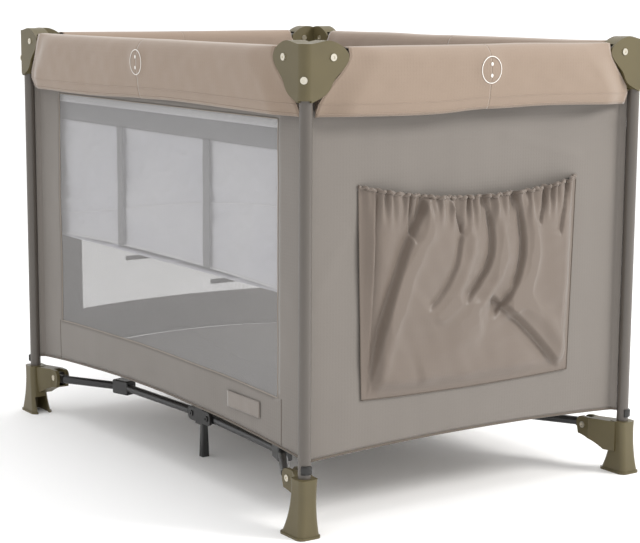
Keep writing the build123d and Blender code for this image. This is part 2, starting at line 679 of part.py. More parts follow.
def bassinet_rods():
    """Four steel rods under the bassinet's floor, two along it and two across below them."""
    radius = BASSINET_ROD_RADIUS
    z = BASSINET_BOTTOM_Z - radius - BASSINET_ROD_GAP
    reach_x = HX - BASSINET_FROM_POST - BASSINET_ROD_END_GAP
    reach_y = HY - BASSINET_FROM_POST - BASSINET_ROD_END_GAP
    lower = z - 2 * radius
    rods = []
    for side in (-1, 1):
        inset = side * BASSINET_ROD_INSET
        rods.append(rod_x(-reach_x, reach_x, inset, z, radius))
        rods.append(rod_y(inset, -reach_y, reach_y, lower, radius))
    return rods


def mattress_sections():
    """The four padded boards of the mattress, from -X to +X."""
    reach_x = HX - BASSINET_FROM_POST - FABRIC - MATTRESS_SIDE_GAP
    reach_y = HY - BASSINET_FROM_POST - FABRIC - MATTRESS_SIDE_GAP
    low = BASSINET_BOTTOM_Z + FABRIC + MATTRESS_FLOOR_GAP
    width = reach_x / 2
    gap = MATTRESS_HINGE_GAP / 2
    sections = []
    for index in range(4):
        x0 = -reach_x + index * width + (gap if index else 0)
        x1 = -reach_x + (index + 1) * width - (gap if index < 3 else 0)
        pad = block(x0, x1, -reach_y, reach_y, low, low + MATTRESS_THICKNESS)
        sections.append(fillet(pad.edges().filter_by(Axis.Z), MATTRESS_CORNER))
    return sections


# ---- assembly

os.makedirs("parts", exist_ok=True)

for corner in CORNERS:
    put(f"post_{corner}", at_corner(post(), corner))
    put(f"bracket_{corner}", at_corner(bracket(), corner))
    put(f"foot_{corner}", at_corner(foot(), corner))
    put(f"rivets_{corner}", *[at_corner(piece, corner) for piece in corner_rivets()])
    put(f"tube_{corner}", *[at_corner(piece, corner) for piece in lower_tube()])

SIDES = {
    "front": (0, Pos(0, -HY, 0), HX, 1, {"r": 1, "l": -1}),
    "back": (180, Pos(0, HY, 0), HX, -1, {"r": -1, "l": 1}),
    "right": (90, Pos(HX, 0, 0), HY, -1, {"f": -1, "b": 1}),
    "left": (-90, Pos(-HX, 0, 0), HY, 1, {"f": 1, "b": -1}),
}
for side, (turn, place, half, fixed_side, ends) in SIDES.items():
    move = place * Rot(0, 0, turn)
    for end, direction in ends.items():
        flip = Rot(0, 0, 0 if direction > 0 else 180)
        rail = half_rail(half, pinned=direction != fixed_side)
        put(f"rail_{side}_{end}", *[move * flip * piece for piece in rail])
    put(f"latch_{side}", move * latch(fixed_side))
    put(f"button_{side}", move * latch_button())
    put(f"cover_{side}", *[move * piece for piece in rail_cover(half)])

MIDDLE_PIECES = {
    "mid_hub": [mid_hub(), *mid_hub_pins()],
    "mid_leg": [mid_leg()],
    "arm": cross_arm(),
    "panel": [long_panel()],
}
for name, pieces in MIDDLE_PIECES.items():
    put(f"{name}_back", *pieces)
    put(f"{name}_front", *[mirror(piece, about=Plane.XZ) for piece in pieces])

put("panel_right", short_panel())
put("panel_left", mirror(short_panel(), about=Plane.YZ))
put("pocket", pocket())
put("floor_sheet", floor_sheet())
put("centre_hub", centre_hub())
put("pull_handle", pull_handle())
put("bassinet", *bassinet())
put("bassinet_rods", *bassinet_rods())
for number, section in enumerate(mattress_sections(), start=1):
    put(f"mattress_{number}", section)
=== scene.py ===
import bmesh
import bpy
import numpy as np
from mathutils import Matrix, Vector


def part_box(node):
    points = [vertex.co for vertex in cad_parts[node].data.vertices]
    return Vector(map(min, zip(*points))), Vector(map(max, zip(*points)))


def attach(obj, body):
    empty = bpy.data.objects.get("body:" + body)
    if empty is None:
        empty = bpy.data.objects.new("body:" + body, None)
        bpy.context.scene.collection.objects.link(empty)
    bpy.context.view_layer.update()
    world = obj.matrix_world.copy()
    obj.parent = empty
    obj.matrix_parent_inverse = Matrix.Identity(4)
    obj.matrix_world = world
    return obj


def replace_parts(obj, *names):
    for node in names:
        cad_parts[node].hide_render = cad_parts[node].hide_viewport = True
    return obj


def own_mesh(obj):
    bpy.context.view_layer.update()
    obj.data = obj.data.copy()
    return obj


bl_info = {
    "name": "Travel Play Yard",
    "version": (1, 0, 0),
    "blender": (4, 5, 0),
    "location": "View3D > Sidebar > Play Yard",
    "description": "Dresses the folding play yard frame in its fabrics, padding, trim and finishes",
    "category": "Object",
}

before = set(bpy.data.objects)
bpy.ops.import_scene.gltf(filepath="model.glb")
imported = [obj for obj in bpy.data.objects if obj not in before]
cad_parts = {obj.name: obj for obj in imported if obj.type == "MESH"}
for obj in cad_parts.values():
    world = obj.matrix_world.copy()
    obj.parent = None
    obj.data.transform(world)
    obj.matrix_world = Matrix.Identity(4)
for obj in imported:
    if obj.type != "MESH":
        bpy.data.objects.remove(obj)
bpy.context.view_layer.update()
MM = 0.001


def post_axis():
    """The distance of a post's axis from the middle of the yard, along X and along Y."""
    low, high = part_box("post_br")
    return (low.x + high.x) / 2, (low.y + high.y) / 2


HX, HY = post_axis()

# Set-backs of the soft pieces in metres. A panel's edge starts PANEL_EDGE from the post's axis and PANEL_TUCK
# inside the posts' plane, and its middle lies PANEL_DEPTH inside. PANEL_HEM is its sewn edge strip.
PANEL_EDGE = 0.0060
PANEL_TUCK = 0.0086
PANEL_DEPTH = 0.0150
END_ARCH = 0.0100
PANEL_BOTTOM, PANEL_TOP = 0.110, 0.660
PANEL_HEM = 0.014
POCKET_PLANE = -0.0135
WALL_INSET = 0.0245
COVER_OUT = 0.0226

# A side is given by the way it runs, the way it faces, its half length and the distance of its posts.
SIDES = {
    "front": ((1, 0), (0, -1), HX, HY),
    "back": ((-1, 0), (0, 1), HX, HY),
    "right": ((0, 1), (1, 0), HY, HX),
    "left": ((0, -1), (-1, 0), HY, HX),
}


def linear(hex_colour):
    """An sRGB hex colour as linear red, green and blue."""
    values = np.array([int(hex_colour[i : i + 2], 16) for i in (1, 3, 5)]) / 255
    return tuple(np.where(values <= 0.04045, values / 12.92, ((values + 0.055) / 1.055) ** 2.4))


def colour_prop(name, hex_colour, description):
    return bpy.props.FloatVectorProperty(
        name=name, description=description, subtype="COLOR", size=3, min=0, max=1, default=linear(hex_colour)
    )


def length_prop(name, metres, description):
    return bpy.props.FloatProperty(
        name=name, description=description, unit="LENGTH", subtype="DISTANCE", min=0, default=metres
    )


class YardColours(bpy.types.PropertyGroup):
    """Colours of the cloths and mouldings."""

    cover: colour_prop("Rail cover", "#8C7B6C", "Padded sleeve over the top rails")
    panel: colour_prop("Panel cloth", "#746E68", "Woven border of the sides and the end panels")
    pocket: colour_prop("Pocket cloth", "#6E635A", "Satin lining cloth of the gathered end pocket")
    mesh: colour_prop("Mesh", "#9B9998", "Knitted mesh of the windows")
    lining: colour_prop("Bassinet cloth", "#EEF0FF", "Pale crumpled cloth of the bassinet")
    band: colour_prop("Bassinet band", "#8E8F93", "Grey webbing of the bassinet")
    olive: colour_prop("Moulding", "#584F33", "Olive corner brackets and feet")


class YardSizes(bpy.types.PropertyGroup):
    """Sizes of the soft pieces."""

    window_side: length_prop("Window margin", 0.097, "From a post's axis to the side of a window")
    window_low: length_prop("Window bottom", 0.190, "Height of a window's lower corners")
    window_high: length_prop("Window top", 0.630, "Height of a window's upper edge")
    hem_arch: length_prop("Hem arch", 0.022, "How far the lower hem rises at mid side")
    cloth: length_prop("Cloth thickness", 0.0012, "Thickness of the woven cloth")
    thread: length_prop(
        "Thread spacing", 0.0018, "Weave spacing, drawn coarser than the real 0.5 mm so it shows",
    )
    mesh_pitch: length_prop("Mesh pitch", 0.0019, "Spacing of the holes in the knitted mesh")


# ---- materials


def add_node(tree, kind, links=(), **settings):
    """Adds a shader node, sets its properties and inputs, and links inputs given as (node, output) pairs."""
    made = tree.nodes.new(kind)
    for key, value in settings.items():
        setattr(made, key, value)
    for socket, source in dict(links).items():
        if isinstance(source, tuple) and isinstance(source[0], bpy.types.Node):
            tree.links.new(source[0].outputs[source[1]], made.inputs[socket])
        else:
            made.inputs[socket].default_value = source
    return made


def new_material(name):
    """A new node material and its shader."""
    made = bpy.data.materials.new(name)
    made.use_nodes = True
    return made, made.node_tree, made.node_tree.nodes["Principled BSDF"]


def rgba(colour):
    return (*colour, 1.0)


def moulded_plastic(name, colour, roughness=0.42, grain_mm=0.9, depth=0.05):
    """Injection-moulded polypropylene with a spark-eroded grain: a soft, slightly waxy highlight."""
    material, tree, shader = new_material(name)
    place = add_node(tree, "ShaderNodeTexCoord")
    grain = add_node(
        tree, "ShaderNodeTexNoise",
        {"Vector": (place, "Object"), "Scale": 1000 / grain_mm / 4, "Detail": 3.0},
    )
    cloud = add_node(tree, "ShaderNodeTexNoise", {"Vector": (place, "Object"), "Scale": 22.0, "Detail": 2.0})
    tint = add_node(
        tree,
        "ShaderNodeMix",
        {
            "Factor": (cloud, "Fac"), 6: rgba(np.array(colour) * 0.86),
            7: rgba(np.minimum(np.array(colour) * 1.12, 1)),
        },
        data_type="RGBA",
    )
    bump = add_node(
        tree, "ShaderNodeBump", {"Height": (grain, "Fac"), "Strength": 0.35, "Distance": depth * MM},
    )
    tree.links.new(tint.outputs[2], shader.inputs["Base Color"])
    tree.links.new(bump.outputs["Normal"], shader.inputs["Normal"])
    shader.inputs["Roughness"].default_value = roughness
    shader.inputs["IOR"].default_value = 1.49
    return material


def powder_coat(name, colour, roughness=0.38):
    """Powder-coated steel tube: an even film with faint orange peel and small changes of gloss."""
    material, tree, shader = new_material(name)
    place = add_node(tree, "ShaderNodeTexCoord")
    peel = add_node(tree, "ShaderNodeTexNoise", {"Vector": (place, "Object"), "Scale": 420.0, "Detail": 2.0})
    gloss = add_node(tree, "ShaderNodeTexNoise", {"Vector": (place, "Object"), "Scale": 35.0, "Detail": 3.0})
    rough = add_node(
        tree, "ShaderNodeMapRange",
        {"Value": (gloss, "Fac"), "To Min": roughness - 0.07, "To Max": roughness + 0.08}
    )
    bump = add_node(tree, "ShaderNodeBump", {"Height": (peel, "Fac"), "Strength": 0.2, "Distance": 0.05 * MM})
    tree.links.new(rough.outputs["Result"], shader.inputs["Roughness"])
    tree.links.new(bump.outputs["Normal"], shader.inputs["Normal"])
    shader.inputs["Base Color"].default_value = rgba(colour)
    shader.inputs["Coat Weight"].default_value = 0.25
    shader.inputs["Coat Roughness"].default_value = 0.22
    return material


def rolled_steel(name):
    """Nickel-plated steel rivet heads, rolled: bright with fine brushed marks."""
    material, tree, shader = new_material(name)
    place = add_node(tree, "ShaderNodeTexCoord")
    marks = add_node(tree, "ShaderNodeTexNoise", {"Vector": (place, "Object"), "Scale": 900.0, "Detail": 2.0})
    rough = add_node(tree, "ShaderNodeMapRange", {"Value": (marks, "Fac"), "To Min": 0.2, "To Max": 0.38})
    tree.links.new(rough.outputs["Result"], shader.inputs["Roughness"])
    shader.inputs["Base Color"].default_value = rgba(linear("#D9D3C4"))
    shader.inputs["Metallic"].default_value = 1.0
    return material


def woven_cloth(name, colour, thread, sheen=0.25, roughness=0.75, weave=0.4, tone_and_painted_shade=0.10):
    """Plain-woven polyester: two crossed thread waves on the cloth's own UV map, which is in metres."""
    material, tree, shader = new_material(name)
    place = add_node(tree, "ShaderNodeTexCoord")
    scale = 1 / thread / 2
    waves = [
        add_node(
            tree,
            "ShaderNodeTexWave",
            {"Vector": (place, "UV"), "Scale": scale / 5, "Distortion": 0.6, "Detail": 1.0},
            bands_direction=direction,
        )
        for direction in ("X", "Y")
    ]
    cross = add_node(
        tree, "ShaderNodeMath", {0: (waves[0], "Fac"), 1: (waves[1], "Fac")}, operation="MULTIPLY",
    )
    # Cloud and fibre noise lighten and darken the cloth by a given share. On most cloths this is random tone;
    # on the bassinet lining it is painted shade, where the patches stand for the shading of its crumples.
    cloud = add_node(tree, "ShaderNodeTexNoise", {"Vector": (place, "Object"), "Scale": 9.0, "Detail": 4.0})
    fibre = add_node(tree, "ShaderNodeTexNoise", {"Vector": (place, "Object"), "Scale": 650.0, "Detail": 2.0})
    shade = add_node(tree, "ShaderNodeMath", {0: (cloud, "Fac"), 1: (fibre, "Fac")}, operation="ADD")
    fine = add_node(tree, "ShaderNodeMath", {0: (shade, "Value"), 1: 0.5}, operation="MULTIPLY")
    base = np.array(colour)
    tint = add_node(
        tree,
        "ShaderNodeMix",
        {
            "Factor": (fine, "Value"), 6: rgba(base * (1 - tone_and_painted_shade)),
            7: rgba(np.minimum(base * (1 + tone_and_painted_shade), 1)),
        },
        data_type="RGBA",
    )
    bump = add_node(
        tree, "ShaderNodeBump", {"Height": (cross, "Value"), "Strength": weave, "Distance": 0.25 * MM},
    )
    tree.links.new(tint.outputs[2], shader.inputs["Base Color"])
    tree.links.new(bump.outputs["Normal"], shader.inputs["Normal"])
    shader.inputs["Roughness"].default_value = roughness
    shader.inputs["Sheen Weight"].default_value = sheen
    shader.inputs["Sheen Roughness"].default_value = 0.45
    shader.inputs["Specular IOR Level"].default_value = 0.35
    return material


def knitted_mesh(name, colour, pitch):
    """Knitted polyester mesh: rows of round holes, offset row by row, in a soft pale yarn."""
    material, tree, shader = new_material(name)
    place = add_node(tree, "ShaderNodeTexCoord")
    size = add_node(
        tree, "ShaderNodeMapping", {"Vector": (place, "UV"), "Scale": (1 / pitch, 1.15 / pitch, 1.0)},
    )
    holes = add_node(
        tree, "ShaderNodeTexVoronoi", {"Vector": (size, "Vector"), "Scale": 1.0, "Randomness": 0.18},
        voronoi_dimensions="2D"
    )
    alpha = add_node(
        tree,
        "ShaderNodeMapRange",
        {"Value": (holes, "Distance"), "From Min": 0.16, "From Max": 0.36, "To Min": 0.20, "To Max": 0.62},
    )
    bump = add_node(
        tree, "ShaderNodeBump", {"Height": (holes, "Distance"), "Strength": 0.1, "Distance": 0.2 * MM},
    )
    tree.links.new(alpha.outputs["Result"], shader.inputs["Alpha"])
    tree.links.new(bump.outputs["Normal"], shader.inputs["Normal"])
    shader.inputs["Base Color"].default_value = rgba(colour)
    shader.inputs["Roughness"].default_value = 0.7
    shader.inputs["Sheen Weight"].default_value = 0.2
    return material


def printed_ink(name, hex_colour):
    """Screen-printed ink on cloth: a thin matt film with worn patches."""
    material, tree, shader = new_material(name)
    place = add_node(tree, "ShaderNodeTexCoord")
    wear = add_node(tree, "ShaderNodeTexNoise", {"Vector": (place, "Object"), "Scale": 380.0, "Detail": 3.0})
    ink = np.array(linear(hex_colour))
    tint = add_node(
        tree, "ShaderNodeMix", {"Factor": (wear, "Fac"), 6: rgba(ink * 0.85), 7: rgba(ink)}, data_type="RGBA"
    )
    tree.links.new(tint.outputs[2], shader.inputs["Base Color"])
    shader.inputs["Roughness"].default_value = 0.6
    return material


MATERIALS = {}


def build_materials():
    """Every finish of the yard, named for what it is."""
    colours = bpy.context.scene.yard_colours
    sizes = bpy.context.scene.yard_sizes
    thread = sizes.thread
    MATERIALS.update(
        cover=woven_cloth("padded polyester twill", colours.cover, thread, sheen=0.35, tone_and_painted_shade=0.09),
        panel=woven_cloth("woven polyester", colours.panel, thread, sheen=0.3, roughness=0.62, tone_and_painted_shade=0.07),
        pocket=woven_cloth(
            "satin polyester lining cloth", colours.pocket, thread, sheen=0.25, roughness=0.42, weave=0.2,
        ),
        mesh=knitted_mesh("knitted mesh", colours.mesh, sizes.mesh_pitch),
        # The bassinet lining's strong light and dark patches are painted shade, standing for the shading of
        # its crumples.
        lining=woven_cloth(
            "crumpled polyester taffeta", colours.lining, thread, sheen=0.2, roughness=0.6, weave=0.2,
            tone_and_painted_shade=0.20
        ),
        band=woven_cloth("grey webbing", colours.band, thread, weave=0.5),
        tape=woven_cloth("white binding tape", linear("#FAFAFF"), thread, weave=0.5),
        piping=woven_cloth("piping cord", linear("#8E857B"), thread, weave=0.5),
        hem=woven_cloth("dark bias binding", linear("#5E554C"), thread, weave=0.5),
        floor=woven_cloth("coated oxford cloth", linear("#8F8983"), thread, sheen=0.1, roughness=0.5),
        mattress=woven_cloth("quilted jersey", linear("#B4B5BC"), thread, sheen=0.35, roughness=0.85),
        webbing=woven_cloth("black webbing", linear("#2B2A2A"), thread, weave=0.7, roughness=0.6),
        ink=printed_ink("screen-printed white ink", "#EDE8E2"),
        label=woven_cloth("woven satin label", linear("#7D756E"), thread, weave=0.2, roughness=0.45),
        olive=moulded_plastic("moulded polypropylene olive", colours.olive),
        black_plastic=moulded_plastic("moulded nylon black", linear("#1E1D1C"), roughness=0.36),
        grey_plastic=moulded_plastic("moulded nylon light grey", linear("#A7A8AA"), roughness=0.4),
        khaki_plastic=moulded_plastic("moulded acetal khaki", linear("#8B8266"), roughness=0.35),
        post=powder_coat("powder-coated steel taupe", linear("#554F49")),
        rail=powder_coat("powder-coated steel grey", linear("#6E6C69")),
        black_steel=powder_coat("powder-coated steel black", linear("#1A1A1A"), roughness=0.3),
        steel=rolled_steel("nickel-plated rolled steel"),
    )


# ---- mesh helpers


def make_object(name, points, faces, uv=None, material=None, body=None, smooth=True):
    """A mesh object from point and face arrays, with its UV map in metres, finish, body and slot."""
    mesh = bpy.data.meshes.new(name)
    mesh.from_pydata(points.tolist(), [], faces.tolist())
    mesh.update()
    if uv is not None:
        layer = mesh.uv_layers.new(name="cloth")
        corners = np.empty(len(mesh.loops), dtype=np.int64)
        mesh.loops.foreach_get("vertex_index", corners)
        layer.data.foreach_set("uv", uv[corners].astype(np.float32).ravel())
    if smooth:
        mesh.polygons.foreach_set("use_smooth", np.ones(len(mesh.polygons), dtype=bool))
    made = bpy.data.objects.new(name, mesh)
    bpy.context.collection.objects.link(made)
    if material:
        mesh.materials.append(MATERIALS[material])
    if body:
        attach(made, body)
    return made


def grid_faces(rows, columns, wrap=False):
    """Quads of a grid of points stored row by row; wrap joins the last column to the first."""
    row = np.arange(rows - 1)[:, None]
    column = np.arange(columns if wrap else columns - 1)[None, :]
    after = (column + 1) % columns
    corners = [
        row * columns + column, (row + 1) * columns + column, (row + 1) * columns + after,
        row * columns + after,
    ]
    return np.stack(corners, axis=-1).reshape(-1, 4)


def cloth_grid(name, points, uv, material, body, keep=None, thickness=None, flip=False):
    """A sheet from a grid of points (rows, columns, 3). keep marks the quads that stay."""
    rows, columns = points.shape[:2]
    faces = grid_faces(rows, columns)
    if keep is not None:
        faces = faces[keep.ravel()]
    if flip:
        faces = faces[:, ::-1]
    used, faces = np.unique(faces, return_inverse=True)
    faces = faces.reshape(-1, 4)
    made = make_object(
        name, points.reshape(-1, 3)[used], faces, uv.reshape(-1, 2)[used], material, body
    )
    if thickness:
        solid = made.modifiers.new("thickness", "SOLIDIFY")
        solid.thickness = thickness
        solid.offset = 0
    return made


def tube_along(name, path, radius, material, body, sides=8, closed=False, normal=(0, 0, 1)):
    """A round cord along a path: each ring lies across it, set out by its turn and a fixed normal."""
    path = np.asarray(path, float)
    if closed:
        ahead, behind = np.roll(path, -1, 0), np.roll(path, 1, 0)
    else:
        ahead, behind = np.vstack([path[1:], path[-1:]]), np.vstack([path[:1], path[:-1]])
    along = ahead - behind
    along /= np.linalg.norm(along, axis=1, keepdims=True)
    across = np.cross(along, normal)
    across /= np.maximum(np.linalg.norm(across, axis=1, keepdims=True), 1e-9)
    third = np.cross(across, along)
    angle = np.linspace(0, 2 * np.pi, sides, endpoint=False)
    ring = np.cos(angle)[None, :, None] * across[:, None] + np.sin(angle)[None, :, None] * third[:, None]
    points = path[:, None] + radius * ring
    run = np.concatenate([[0], np.cumsum(np.linalg.norm(np.diff(path, axis=0), axis=1))])
    uv = np.stack(np.broadcast_arrays(run[:, None], angle[None] * radius), axis=-1)
    faces = grid_faces(len(path), sides, wrap=True)
    if closed:
        last = (len(path) - 1) * sides
        column = np.arange(sides)
        after = (column + 1) % sides
        faces = np.vstack([faces, np.stack([last + column, column, after, last + after], 1)])
    made = make_object(name, points.reshape(-1, 3), faces, uv.reshape(-1, 2), material, body)
    if not closed:
        cap_ends(made, sides, len(path))
    turn_outward(made)
    return made


def cap_ends(made, sides, rings):
    """Closes both ends of a tube with one face each."""
    work = bmesh.new()
    work.from_mesh(made.data)
    work.verts.ensure_lookup_table()
    work.faces.new([work.verts[i] for i in range(sides)])
    work.faces.new([work.verts[(rings - 1) * sides + i] for i in reversed(range(sides))])
    work.to_mesh(made.data)
    work.free()


def turn_outward(made):
    """Makes the faces of a closed mesh point outward."""
    work = bmesh.new()
    work.from_mesh(made.data)
    bmesh.ops.recalc_face_normals(work, faces=work.faces)
    work.to_mesh(made.data)
    work.free()


def smooth_step(value):
    """0 below 0, 1 above 1 and an S-curve between."""
    value = np.clip(value, 0, 1)
    return value * value * (3 - 2 * value)


def ripples(a, b, wavelength, seed, waves=9):
    """Smooth cloth unevenness: a sum of plane waves in random directions, about between -1 and 1."""
    random = np.random.default_rng(seed)
    angle = random.uniform(0, 2 * np.pi, waves)
    number = 2 * np.pi / (wavelength * random.uniform(0.6, 1.7, waves))
    phase = random.uniform(0, 2 * np.pi, waves)
    total = np.zeros(np.broadcast(a, b).shape)
    for turn, k, shift in zip(angle, number, phase):
        total = total + np.sin(k * (a * np.cos(turn) + b * np.sin(turn)) + shift)
    return total / waves ** 0.5 / 1.8


def along_and_off(a, b, start, end, bend):
    """Where points lie by a line: t along it, 0 at its start and 1 at its end, and how far off it they are.
    The line's middle is pushed sideways by bend times the sine of half a turn of t."""
    start, end = np.array(start, float), np.array(end, float)
    run = end - start
    length = np.hypot(*run)
    t = ((a - start[0]) * run[0] + (b - start[1]) * run[1]) / length ** 2
    off = ((a - start[0]) * run[1] - (b - start[1]) * run[0]) / length
    return t, off - bend * np.sin(np.pi * np.clip(t, 0, 1))


def ridge(a, b, start, end, width, bend=0.0):
    """A soft fold: 1 along its line, falling off across it as a bell curve and fading out at both ends."""
    t, off = along_and_off(a, b, start, end, bend)
    return np.exp(-((off / width) ** 2)) * smooth_step(t / 0.12) * smooth_step((1 - t) / 0.12)


def crease(a, b, start, end, width, bend=0.0, side=1):
    """A sharp fold: one flank is a short S-curve, and the other falls off exponentially over the width."""
    t, off = along_and_off(a, b, start, end, bend)
    off = off * side
    steep = smooth_step(0.5 + off / (0.30 * width))
    return steep * np.exp(-np.maximum(off, 0) / width) * smooth_step(t / 0.10) * smooth_step((1 - t) / 0.14)


def side_point(side, s, z, out):
    """Points of a side: s along it from its middle, z up, out from the posts' plane, as an (..., 3) array."""
    along, facing, _, plane = SIDES[side]
    s, z, out = np.broadcast_arrays(s, z, out)
    x = along[0] * s + facing[0] * (plane + out)
    y = along[1] * s + facing[1] * (plane + out)
    return np.stack([x, y, z], axis=-1)


def fold_squash(piece):
    """Gives a side's cloth piece its own copy of its mesh."""
    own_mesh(piece)


SIDE_POST = {"front": "fr", "right": "fr", "left": "fl", "back": "br"}


# ---- the carried-over frame


def finish_of(node):
    """The finish of a CAD node, from its name."""
    table = (
        ("post_", "post"), ("bracket_", "olive"), ("foot_", "olive"), ("rivets_", "steel"),
        ("rail_", "rail"), ("latch_", "black_plastic"), ("button_", "khaki_plastic"),
        ("tube_", "black_steel"), ("mid_hub_", "black_plastic"), ("mid_leg_", "black_steel"),
        ("arm_", "black_steel"), ("centre_hub", "grey_plastic"), ("bassinet_rods", "black_steel"),
    )
    return next((finish for start, finish in table if node.startswith(start)), None)


def finish_frame():
    """Gives every carried-over node its real finish."""
    for name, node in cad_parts.items():
        finish = finish_of(name)
        if finish:
            node.data.materials.clear()
            node.data.materials.append(MATERIALS[finish])


def post_clips():
    """A small black tab on the outward side of each post just above its foot, curved with the post."""
    foot_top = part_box("foot_fr")[1].z
    profile = np.array([(10.05, 7), (12.6, 7.6), (13.4, 10), (13.4, 18), (12.6, 20.4), (10.05, 21)]) * MM
    for corner in ("fr", "fl", "br", "bl"):
        low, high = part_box(f"post_{corner}")
        middle = (low + high) / 2
        outward = np.arctan2(0.4 * middle.y, middle.x)
        angle = outward + np.linspace(-0.75, 0.75, 18)
        ring = np.stack([np.cos(angle), np.sin(angle)], axis=1)
        points = np.concatenate([
            middle.xy[:] + ring[:, None] * profile[None, :, :1],
            np.broadcast_to(foot_top + profile[None, :, 1:], (len(angle), len(profile), 1)),
        ], axis=2)
        made = make_object(
            f"post_clip_{corner}", points.reshape(-1, 3), grid_faces(len(angle), len(profile), wrap=True),
            None, "black_plastic", f"post_{corner}", smooth=False,
        )
        cap_ends(made, len(profile), len(angle))
        turn_outward(made)


# ---- rail covers

# A cover's end, which follows the bracket's edge: height, distance from the post's axis along the
# rail, and how far its outer wall still stands out from the posts' plane, in metres.
COVER_END = np.array([
    (0.6400, 0.0180, -0.0050), (0.6600, 0.0200, 0.0040), (0.6720, 0.0265, 0.0070), (0.6860, 0.0385, 0.0095),
    (0.7000, 0.0520, 0.0120), (0.7140, 0.0630, 0.0125), (0.7280, 0.0695, 0.0130), (0.7420, 0.0690, 0.0100),
])
# Half of a cover's section from its outer hem over the rail to its inner hem: out from the posts, height.
COVER_SECTION = np.array([
    (0.0150, 0.6420), (0.0188, 0.6460), (0.0212, 0.6600), (0.0226, 0.6850), (0.0226, 0.7080),
    (0.0218, 0.7220), (0.0198, 0.7320), (0.0155, 0.7388), (0.0080, 0.7412), (-0.0010, 0.7414),
    (-0.0090, 0.7412), (-0.0150, 0.7388), (-0.0190, 0.7310), (-0.0206, 0.7150), (-0.0208, 0.6880),
    (-0.0200, 0.6640), (-0.0185, 0.6500),
])


def along_profile(profile, count):
    """Points at even steps along a polyline, smoothed by a short running mean that keeps its ends."""
    run = np.concatenate([[0], np.cumsum(np.hypot(*np.diff(profile, axis=0).T))])
    at = np.linspace(0, run[-1], count)
    points = np.stack([np.interp(at, run, profile[:, i]) for i in (0, 1)], axis=1)
    for _ in range(6):
        points[1:-1] = (points[:-2] + 2 * points[1:-1] + points[2:]) / 4
    return points, at


def over_button(s, z):
    """How far the cover stands out over the latch button: a flat-topped swelling that fades round it."""
    away = (s / 0.0265) ** 2 + ((z - 0.704) / 0.0245) ** 2
    return 0.0024 * np.exp(-(away ** 2))


def rail_cover_half(side, end, direction):
    """Half a padded sleeve: a section carried along the rail to the bracket's edge, softly wrinkled."""
    _, _, half, _ = SIDES[side]
    section, around = along_profile(COVER_SECTION, 46)
    t = np.linspace(0, 1, 110)[:, None] ** 0.85
    out, z = section[None, :, 0], section[None, :, 1]
    edge = half - np.interp(z, COVER_END[:, 0], COVER_END[:, 1])
    edge = edge - np.where(out < 0, 0.006, 0) * smooth_step((0.70 - z) / 0.05)
    s = edge * (1 - t)
    from_edge = edge - s
    seed = {"front": 11, "right": 12, "back": 13, "left": 14}[side]
    signed = s * direction
    crown = np.sin(np.pi * np.clip((z - 0.642) / 0.103, 0, 1))
    calm = 1 - 0.85 * np.exp(-((s / 0.045) ** 2))
    drape = 0.0013 * ripples(signed, z, 0.16, seed) + 0.0006 * ripples(signed, z * 1.6, 0.045, seed + 5)
    tuck = 0.0016 * ripples(signed, around[None] * 0.3, 0.05, seed + 9) * np.exp(-from_edge / 0.05)
    end_out = np.interp(z, COVER_END[:, 0], COVER_END[:, 2])
    freed = smooth_step(from_edge / 0.060)
    reach = np.where(out > 0.006, end_out + (out - end_out) * freed, out * (0.72 + 0.28 * freed))
    out_now = reach + np.sign(out) * (drape * freed + tuck) * crown * calm + over_button(s, z) * (out > 0)
    hem = smooth_step((0.70 - z) / 0.058)
    wave = 0.0045 * ripples(signed, 0 * z, 0.42, seed + 3) * (1 - np.exp(-((s / 0.05) ** 2)))
    lift = (wave - 0.004 * np.exp(-from_edge / 0.12)) * hem
    settle = 0.0010 * ripples(signed, around[None], 0.30, seed + 4) * (1 - hem) * calm
    z_now = np.minimum(z + lift + settle, 0.7424)
    points = side_point(side, signed, z_now, out_now)
    uv = np.stack(np.broadcast_arrays(signed, around[None]), axis=-1)
    made = cloth_grid(
        f"rail_cover_{side}_{end}", points, uv, "cover", f"rail_{side}_{end}",
        thickness=0.0022, flip=direction > 0,
    )
    squash_cover(made)
    outward = side_point(side, 0, 0, 0.0009) - side_point(side, 0, 0, 0)
    for row, radius in ((1, 0.0012), (4, 0.0008)):
        hem_line = tube_along(
            f"cover_hem_{side}_{end}_{row}", points[:, row] + outward, radius,
            "cover", f"rail_{side}_{end}",
        )
        squash_cover(hem_line)
    edge_line = tube_along(
        f"cover_edge_{side}_{end}", points[0, 1:24], 0.0013, "cover", f"rail_{side}_{end}",
        normal=(SIDES[side][1][0], SIDES[side][1][1], 0),
    )
    squash_cover(edge_line)
    return made


def squash_cover(piece):
    """Gives a cover piece its own copy of its mesh."""
    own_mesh(piece)


def badge_ring(side):
    """The printed oval that marks the latch button under a rail cover: a flat ring with two plain dots."""
    turn = np.linspace(0, 2 * np.pi, 64, endpoint=False)
    for name, half_s, half_z, centre_z, width in (
        ("ring", 0.0200, 0.0215, 0.7025, 0.0013), ("dot_high", 0.0024, 0.0030, 0.7115, 0.0024),
        ("dot_low", 0.0024, 0.0030, 0.6935, 0.0024),
    ):
        share = np.array([1.0, 1 - width / half_s * 0.999])
        s = half_s * np.cos(turn)[None] * share[:, None]
        z = centre_z + half_z * np.sin(turn)[None] * share[:, None]
        points = side_point(side, s, z, COVER_OUT + 0.0013 + over_button(s, z))
        made = make_object(
            f"badge_{name}_{side}", points.reshape(-1, 3), grid_faces(2, 64, wrap=True), None, "ink",
            f"latch_{side}"
        )
        solid = made.modifiers.new("thickness", "SOLIDIFY")
        solid.thickness = 0.0004


# ---- side panels


